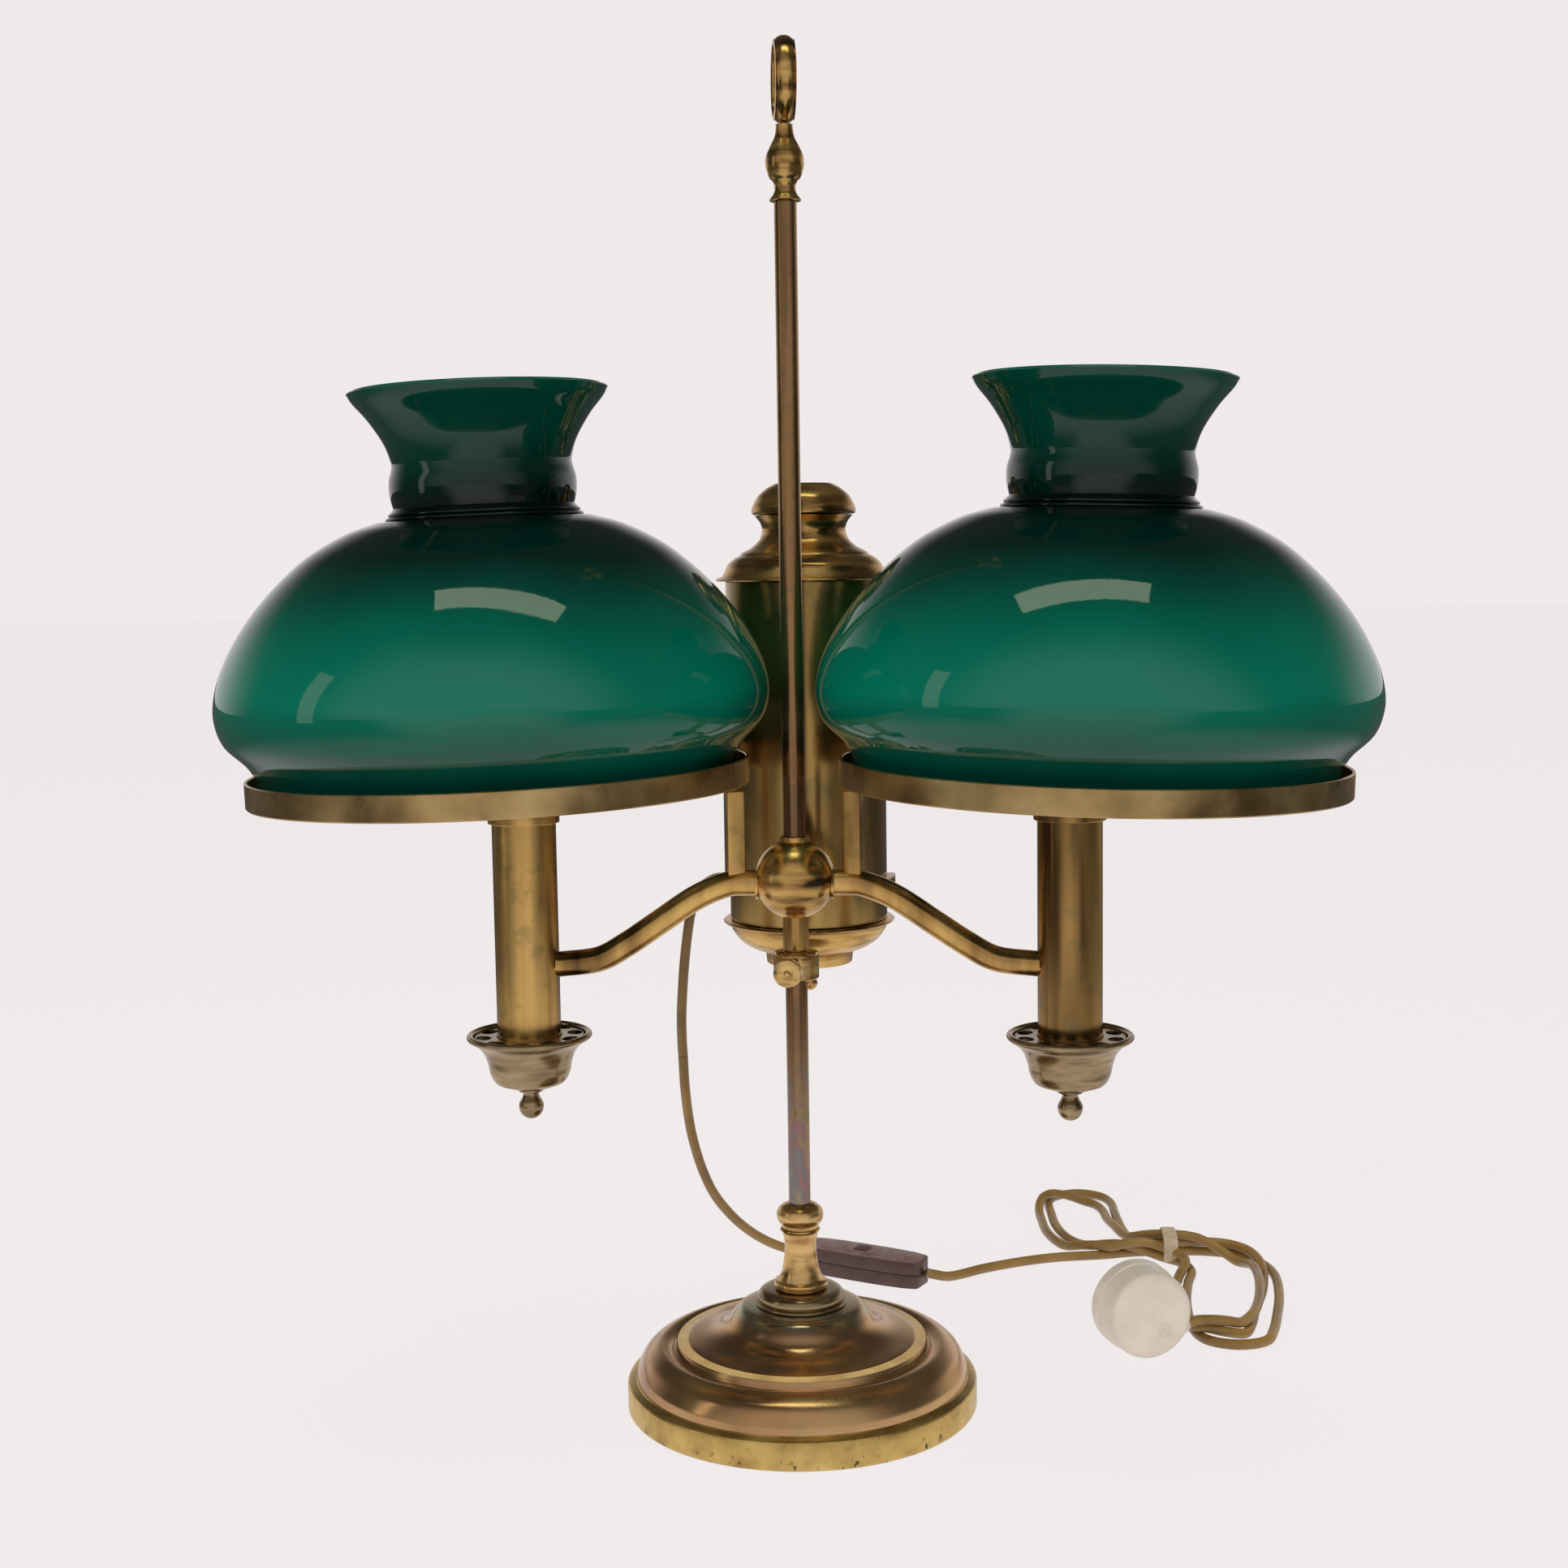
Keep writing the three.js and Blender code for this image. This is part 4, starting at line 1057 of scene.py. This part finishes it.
def add_arm(name, side):
    path = spline([(side * x, 0, z) for x, z in ARM_ROUTE], 10)
    add("arm_" + name, swept(path, circle(ARM_R, 40)), tube_brass)

    top = RING_Z - 0.3
    size = (POST_WIDTH, POST_WIDTH, top - POST_FOOT_Z)
    middle = (side * POST_X, 0, (top + POST_FOOT_Z) / 2)
    add("post_" + name, soft_box(size, middle, 0.5, rotation(-side * POST_TURN, "Z")), tube_brass)

    tube = sleeve(BURNER_R - SHEET, BURNER_R, BURNER_FOOT_Z, BURNER_TOP_Z)
    add("burner_tube_" + name, turned(tube, 80, (side * BURNER_X, 0)), tube_brass)


def vent(number):
    """One oval hole of the drip plate."""
    angle = 2 * math.pi * (number + 0.5) / VENTS
    points = []
    for x, y in circle(1, 24):
        across, along = VENT_R + VENT_HALF_DEPTH * x, VENT_HALF_WIDTH * y
        points.append((across * math.cos(angle) - along * math.sin(angle),
                       across * math.sin(angle) + along * math.cos(angle)))
    return points


def plate_with_vents(thickness):
    """A flat ring with oval holes, filled and thickened by a curve."""
    outline = bpy.data.curves.new("plate_outline", "CURVE")
    outline.dimensions = "2D"
    outline.fill_mode = "BOTH"
    outline.extrude = thickness / 2
    holes = [vent(number) for number in range(VENTS)]
    for loop in [circle(PLATE_R, 96), circle(BURNER_R + 0.5, 80), *holes]:
        line = outline.splines.new("POLY")
        line.points.add(len(loop) - 1)
        for point, (x, y) in zip(line.points, loop):
            point.co = (x, y, 0, 1)
        line.use_cyclic_u = True
    carrier = bpy.data.objects.new("plate_outline", outline)
    mesh = carrier.to_mesh()
    shape = [tuple(vertex.co) for vertex in mesh.vertices], [list(face.vertices) for face in mesh.polygons]
    carrier.to_mesh_clear()
    bpy.data.objects.remove(carrier)
    bpy.data.curves.remove(outline)
    return welded(shape)


def welded(shape):
    work = bmesh.new()
    vertices = [work.verts.new(vertex) for vertex in shape[0]]
    for face in shape[1]:
        work.faces.new([vertices[index] for index in face])
    bmesh.ops.remove_doubles(work, verts=work.verts, dist=0.001)
    return taken(work)


def add_cup(name, side):
    centre = (side * BURNER_X, 0)
    plate = moved(plate_with_vents(1), Matrix.Translation((*centre, CUP_RIM_Z - 2.1)))
    add("drip_plate_" + name, plate, dark_brass)

    bowl = [(3, 169.2), (11.6, 169.3), (12.6, 169.9)]
    outside = [(13.4, 170), (18.2, 172), (20.8, 176.6), (21.8, 181.6), (23.8, 187.4), (27, 191.6)]
    outside += [(30.2, 194)]
    bead = arc(31, 196.3, 1.75, -70, 190, 16)
    inside = [(28.8, 194.9), (25.6, 192), (22.6, 187.8), (20.6, 181.8), (19.6, 177.2), (17.3, 173)]
    inside = curve2(inside + [(12.4, 170.7)], 3) + [(3, 170.5)]
    add("drip_cup_" + name, turned(bowl + curve2(outside, 5) + bead + inside, 96, centre), dark_brass)

    knob = [(0, 151.9)] + arc(0, 158.4, 6.5, -86, 42) + curve2([(4.5, 163.6), (4.1, 164.8), (4.5, 166)], 3)
    knob += [(6.3, 166.7), (6.7, 167.3), (6.6, 168.3), (6.2, 168.8), (2.6, 168.8), (2.6, 173), (0, 173)]
    add("cup_finial_" + name, turned(knob, 48, centre, closed=False), dark_brass)


def leaning(shape, side):
    """Moves a shape turned about the upright axis to where its ring stands, leaning outwards."""
    ring = Matrix.Translation((side * RING_X, 0, RING_Z)) @ rotation(side * RING_LEAN, "Y")
    return moved(shape, ring @ Matrix.Translation((0, 0, -RING_Z)))


def add_ring(name, side):
    ring = [(119, RING_Z), (128.6, RING_Z), (RING_R, RING_Z + 0.7), (RING_R, RING_TOP_Z - 0.5)]
    ring += [(128.9, RING_TOP_Z), (128.1, RING_TOP_Z), (127.7, RING_TOP_Z - 0.5), (127.7, RING_Z + 1.3)]
    ring += [(119.2, RING_Z + 1.2)]
    add("shade_ring_" + name, leaning(turned(ring), side), band_brass)

    hub = sleeve(BURNER_R + 0.3, SPIDER_HUB_R, SPIDER_HUB_BOTTOM_Z, RING_Z + 4, 0.4)
    legs = []
    for degrees in LEG_ANGLES:
        direction = Vector((math.cos(math.radians(degrees)), math.sin(math.radians(degrees)), 0))
        start = Vector((side * (BURNER_X - RING_X), 0, 0)) + direction * LEG_START_R
        end = direction * LEG_END_R
        middle = (start + end) / 2
        turn = Matrix.Rotation(math.atan2(end.y - start.y, end.x - start.x), 4, "Z")
        size = ((end - start).length, LEG_WIDTH, LEG_HEIGHT)
        leg = soft_box(size, (middle.x, middle.y, RING_Z + LEG_HEIGHT / 2), 0.4, turn)
        legs.append(leaning(leg, side))
    add("ring_spider_" + name, together(turned(hub, 64, (side * BURNER_X, 0)), *legs), tube_brass)


def add_light(name, side):
    centre = (side * BURNER_X, 0)
    holder = [(9, 318.3), (16.2, 318.3), (BURNER_R, 318.8), (BURNER_R, 321.3), (14.8, 322.3), (14.8, 351)]
    holder += [(14.4, 351.5), (13.2, 351.5), (13, 351.2), (13, 326.3), (9, 326.3)]
    add("lamp_holder_" + name, turned(holder, SLIM, centre), porcelain)
    cap = [(0, 331), (6, 331.4), (12.2, 333.4), (12.4, 334)]
    for turn in range(4):
        cap += arc(11.8, 338 + 3.4 * turn, 0.7, -60, 60, 4)
    glass = [(12.6, 352), (14, 356), (20, 372), (28.6, 392), (30, 408), (24.4, 425.6), (12, 435.2), (0, 437)]
    add("bulb_" + name, turned(cap + curve2(glass, 7), SLIM, centre, closed=False), bulb_glass)


SHADE_FOOT = [(122.2, 326.5), (122.7, 327.4), (122.8, 334)]
SHADE_BOWL = [
    (123, 339), (127.6, 347), (137.8, 357.6), (141.8, 370), (141, 382), (136.6, 395.5), (127.6, 412),
    (115.4, 427.8), (101.6, 441.4), (88.4, 451.6), (70.5, 461), (55.4, 465.8),
]
SHADE_NECK = [
    (46.2, 472.4), (47.6, 478.6), (47.7, 486), (46.2, 492), (46.1, 496), (49.4, 506), (56.6, 517.6),
    (63.6, 526), (66.3, 530.4),
]


def add_shade(name, side):
    ribs = []
    for rib in range(2):
        ribs += arc(49.6 - 1.6 * rib, 467 + 2.3 * rib, 1, -70, 80, 6)
    bowl = curve2([SHADE_FOOT[-1], *SHADE_BOWL], 7)
    outer = SHADE_FOOT[:-1] + bowl + [(52.4, 466)] + ribs + curve2(SHADE_NECK, 7)
    thick = wall(outer, GLASS)
    count = len(outer)
    rim = [(66.1, 531), (65.4, 531.2), (64.4, 531.4), (63.6, 531.6)]
    outline = thick[:count] + rim + thick[count:]
    add("shade_" + name, leaning(turned(outline, 160), side), green_glass)


for side_name, side_sign in SIDES:
    add_arm(side_name, side_sign)
    add_cup(side_name, side_sign)
    add_ring(side_name, side_sign)
    add_light(side_name, side_sign)
    add_shade(side_name, side_sign)

# ---- Tank behind the rod ----

TANK_R = 44.4
TANK_CENTRE = (0, TANK_Y)
SADDLE_Z = 262.3
SADDLE_R = 47
SADDLE_START = 172  # degrees where the saddle's band starts, and how far it runs
SADDLE_SWEEP = 196
SADDLE_STEPS = 64
GLAND_ANGLE = math.radians(155)
GLAND_Z = 259.6


def add_tank():
    add("tank_shell", turned(sleeve(TANK_R - SHEET, TANK_R, 240.9, 430.8), ROUND, TANK_CENTRE), tank_brass)

    outer = [(2.9, 214.8), (23.6, 215), (24.2, 215.6), (24.8, 221.2)]
    outer += curve2([(27, 222.4), (33, 224.6), (39.2, 228.8), (43.4, 234.4), (44.6, 237.8)])
    outer += [(45.6, 238.3), (47.8, 238.7), (48.6, 239.5), (48, 240.2), (44.9, 240.6)]
    inner = [(42.9, 240.6), (41.6, 235), (37.8, 230.2), (32, 226.2), (23.4, 223.2), (23.4, 216.6)]
    inner += [(2.9, 216.4)]
    add("tank_bottom", turned(outer + inner, ROUND, TANK_CENTRE), turned_brass)

    knob = [(0, 198.2)] + arc(0, 202.5, 4.3, -84, 46) + [(2.5, 207), (2.6, 211), (4.4, 212.6), (6.2, 213)]
    knob += [(6.3, 214.1), (5.9, 214.5), (2.4, 214.5), (2.4, 220), (0, 220)]
    add("tank_knob", turned(knob, 40, TANK_CENTRE, closed=False), turned_brass)


def add_saddle():
    """The cradle: a flat band round the front half, on a curved bar from the hub."""
    band_path = []
    for step in range(SADDLE_STEPS + 1):
        angle = math.radians(SADDLE_START + SADDLE_SWEEP * step / SADDLE_STEPS)
        band_path.append((SADDLE_R * math.cos(angle), TANK_Y + SADDLE_R * math.sin(angle), SADDLE_Z))
    section = rounded([(-2.2, -2.5), (2.2, -2.5), (2.2, 2.5), (-2.2, 2.5)], 0.6)
    band = swept(band_path, section)
    bar_path = spline([(0, 17, ARM_Z), (0, 24, ARM_Z), (0, 40, 272.2), (0, 57.6, 263.3), (0, 63.4, 262.4)], 8)
    add("tank_saddle", together(band, swept(bar_path, circle(5.5, 32))), tube_brass)


def add_gland():
    direction = Vector((math.cos(GLAND_ANGLE), math.sin(GLAND_ANGLE), 0))
    place = Matrix.Translation(Vector((0, TANK_Y, GLAND_Z)) + direction * (TANK_R - 2.5))
    profile = rounded([(CORD_R + 0.3, 0), (4.6, 0), (4.6, 7.2), (4, 7.5), (CORD_R + 0.3, 7.5)], 0.3)
    add("cord_gland", moved(turned(profile, 40), place @ pointed(direction)), bright_brass)


def add_cover():
    outer = [(41.7, 424.1), (42.9, 424.1), (42.9, 431.1), (48.9, 431.1), (49.6, 431.6), (49.5, 432.3)]
    outer += [(48.4, 432.8)]
    outer += curve2([(46.2, 433.4), (44.6, 436.4), (42.8, 440.2), (39.2, 443.4), (36.2, 445)])
    outer += [(35.6, 445.6), (35.2, 446.4)]
    outer += curve2([(34.2, 446.9), (28.9, 449.8), (24.8, 454), (23.4, 459), (24.4, 463.2), (27.3, 467)])
    inner = [(25.6, 467.2), (22.8, 463), (22.1, 458), (24.1, 452.6), (34, 445), (38.8, 441.8), (41.7, 435)]
    add("tank_cover", turned(outer + inner, ROUND, TANK_CENTRE), turned_brass)

    dome = [(20.6, 467.6), (27.8, 467.6), (29, 468.2), (29.2, 469.8), (28.8, 471.6)]
    dome += curve2([(28.4, 472.6), (25.6, 477.6), (21.2, 481.6), (16.6, 484.2)], 5)
    dome += [(15.6, 484.6), (14.6, 484.3), (14.2, 483.4), (0, 483.2), (0, 482.2), (15.4, 482)]
    dome += [(23.2, 476.6), (26.6, 470.8)]
    add("cover_dome", turned(dome, ROUND, TANK_CENTRE), turned_brass)


add_tank()
add_saddle()
add_gland()
add_cover()

# ---- CAD nodes that stay, with a better look ----

KEPT = {
    "base_weight": cast_iron, "base_felt": felt, "rod_nut": steel, "rod_washer": steel,
    "terminal_block": porcelain,
}
for kept_node, kept_look in KEPT.items():
    for material_slot in frame["nodes"][kept_node].material_slots:
        material_slot.material = kept_look

# ---- Floor and light ----

PALE = (0.868, 0.823, 0.823)
DARK_WALL = (0.055, 0.052, 0.048)


FLOOR_COLOUR = (0.045, 0.043, 0.043, 1)
FLOOR_GLOW = 0.968  # how brightly the floor shows to the camera
FLOOR_SIZE = 30  # in metres, like the floor's height
FLOOR_Z = -0.0005
# Each row spreads its first two values over the last two. Distances are in metres, and the others
# are parts of a direction.
FLOOR_BY_DISTANCE = (0.45, 1.3, 0.85, 0.08)
FLOOR_IN_FRONT = (-0.72, -0.96, 0.08, 0.8)
BACK_WALL = (0.15, 0.75, 0, 0.9)
BACK_WALL_TOP = (0.5, 0.12, 0, 1)
FRONT_WALL = (-0.28, -0.8, 0, 0.62)
FRONT_WALL_TOP = (0.98, 0.7, 0, 1)


def make_floor():
    """A pale floor that mostly shines evenly, so that only a faint shadow shows. The lamp mirrors
    it bright close by and in front, and dark elsewhere."""
    bpy.ops.mesh.primitive_plane_add(size=FLOOR_SIZE, location=(0, 0, FLOOR_Z))
    floor = bpy.context.object
    floor.name = "floor"
    look = Look(
        "floor", Base_Color=FLOOR_COLOUR, Roughness=1, Specular_IOR_Level=0, Emission_Color=(*PALE, 1),
    )
    reach = look.new("ShaderNodeVectorMath", operation="LENGTH")
    look.link(look.place, reach.inputs[0])
    distance = reach.outputs["Value"]
    forward = look.math("DIVIDE", look.axes(look.place)["Y"], distance)
    front = look.level(forward, *FLOOR_IN_FRONT)
    mirrored = look.math("MAXIMUM", front, look.level(distance, *FLOOR_BY_DISTANCE))
    seen = look.seen_by_camera()
    mirrored = look.math("MULTIPLY", look.math("SUBTRACT", 1, seen), mirrored)
    glow = look.math("ADD", look.math("MULTIPLY", seen, FLOOR_GLOW), mirrored)
    look.link(glow, look.shader.inputs["Emission Strength"])
    floor.data.materials.append(look.material)


def make_world():
    """An even pale backdrop. The lamp mirrors a pale wall behind it and a dimmer one behind the
    camera, with dark walls at the sides."""
    world = bpy.data.worlds.new("studio")
    bpy.context.scene.world = world
    room = Nodes(world)
    axes = room.axes(room.new("ShaderNodeTexCoord").outputs["Generated"])
    across, up = axes["Y"], axes["Z"]
    back = room.math("MULTIPLY", room.level(across, *BACK_WALL), room.level(up, *BACK_WALL_TOP))
    front = room.math("MULTIPLY", room.level(across, *FRONT_WALL), room.level(up, *FRONT_WALL_TOP))
    mirrored = room.mix(room.math("MAXIMUM", back, front), DARK_WALL, PALE)
    shown = room.mix(room.seen_by_camera(), mirrored, PALE)
    room.link(shown, room.tree.nodes["Background"].inputs["Color"])


def add_light_panel(name, place, aim, size, power, colour=(1, 1, 1), mirrored=False):
    data = bpy.data.lights.new(name, "AREA")
    data.shape = "RECTANGLE"
    data.size, data.size_y = size
    data.energy = power
    data.color = colour
    light = bpy.data.objects.new(name, data)
    light.location = place
    light.rotation_euler = (Vector(aim) - Vector(place)).to_track_quat("-Z", "Y").to_euler()
    light.visible_glossy = mirrored
    bpy.context.scene.collection.objects.link(light)


bpy.context.scene.view_settings.view_transform = "Standard"
make_floor()
make_world()
# Where each light stands, what it points at and its size, all in metres, then its watts.
LAMP_MIDDLE = (0, 0, 0.32)
add_light_panel("ceiling_window", (0, -0.42, 2.65), (0, -0.42, 0), (1.6, 0.42), 6.5, (0.95, 1, 0.72), True)
add_light_panel("side_strip", (-2.3, -0.9, 0.9), LAMP_MIDDLE, (0.35, 1.6), 1.8, (1, 0.95, 0.85), True)
add_light_panel("key", (-1.7, -1.5, 1.9), LAMP_MIDDLE, (1, 1), 34)
add_light_panel("fill", (2, -1.1, 1.1), LAMP_MIDDLE, (0.5, 1.5), 18)
add_light_panel("top", (0, 0.1, 2.4), LAMP_MIDDLE, (1.6, 1.6), 26)
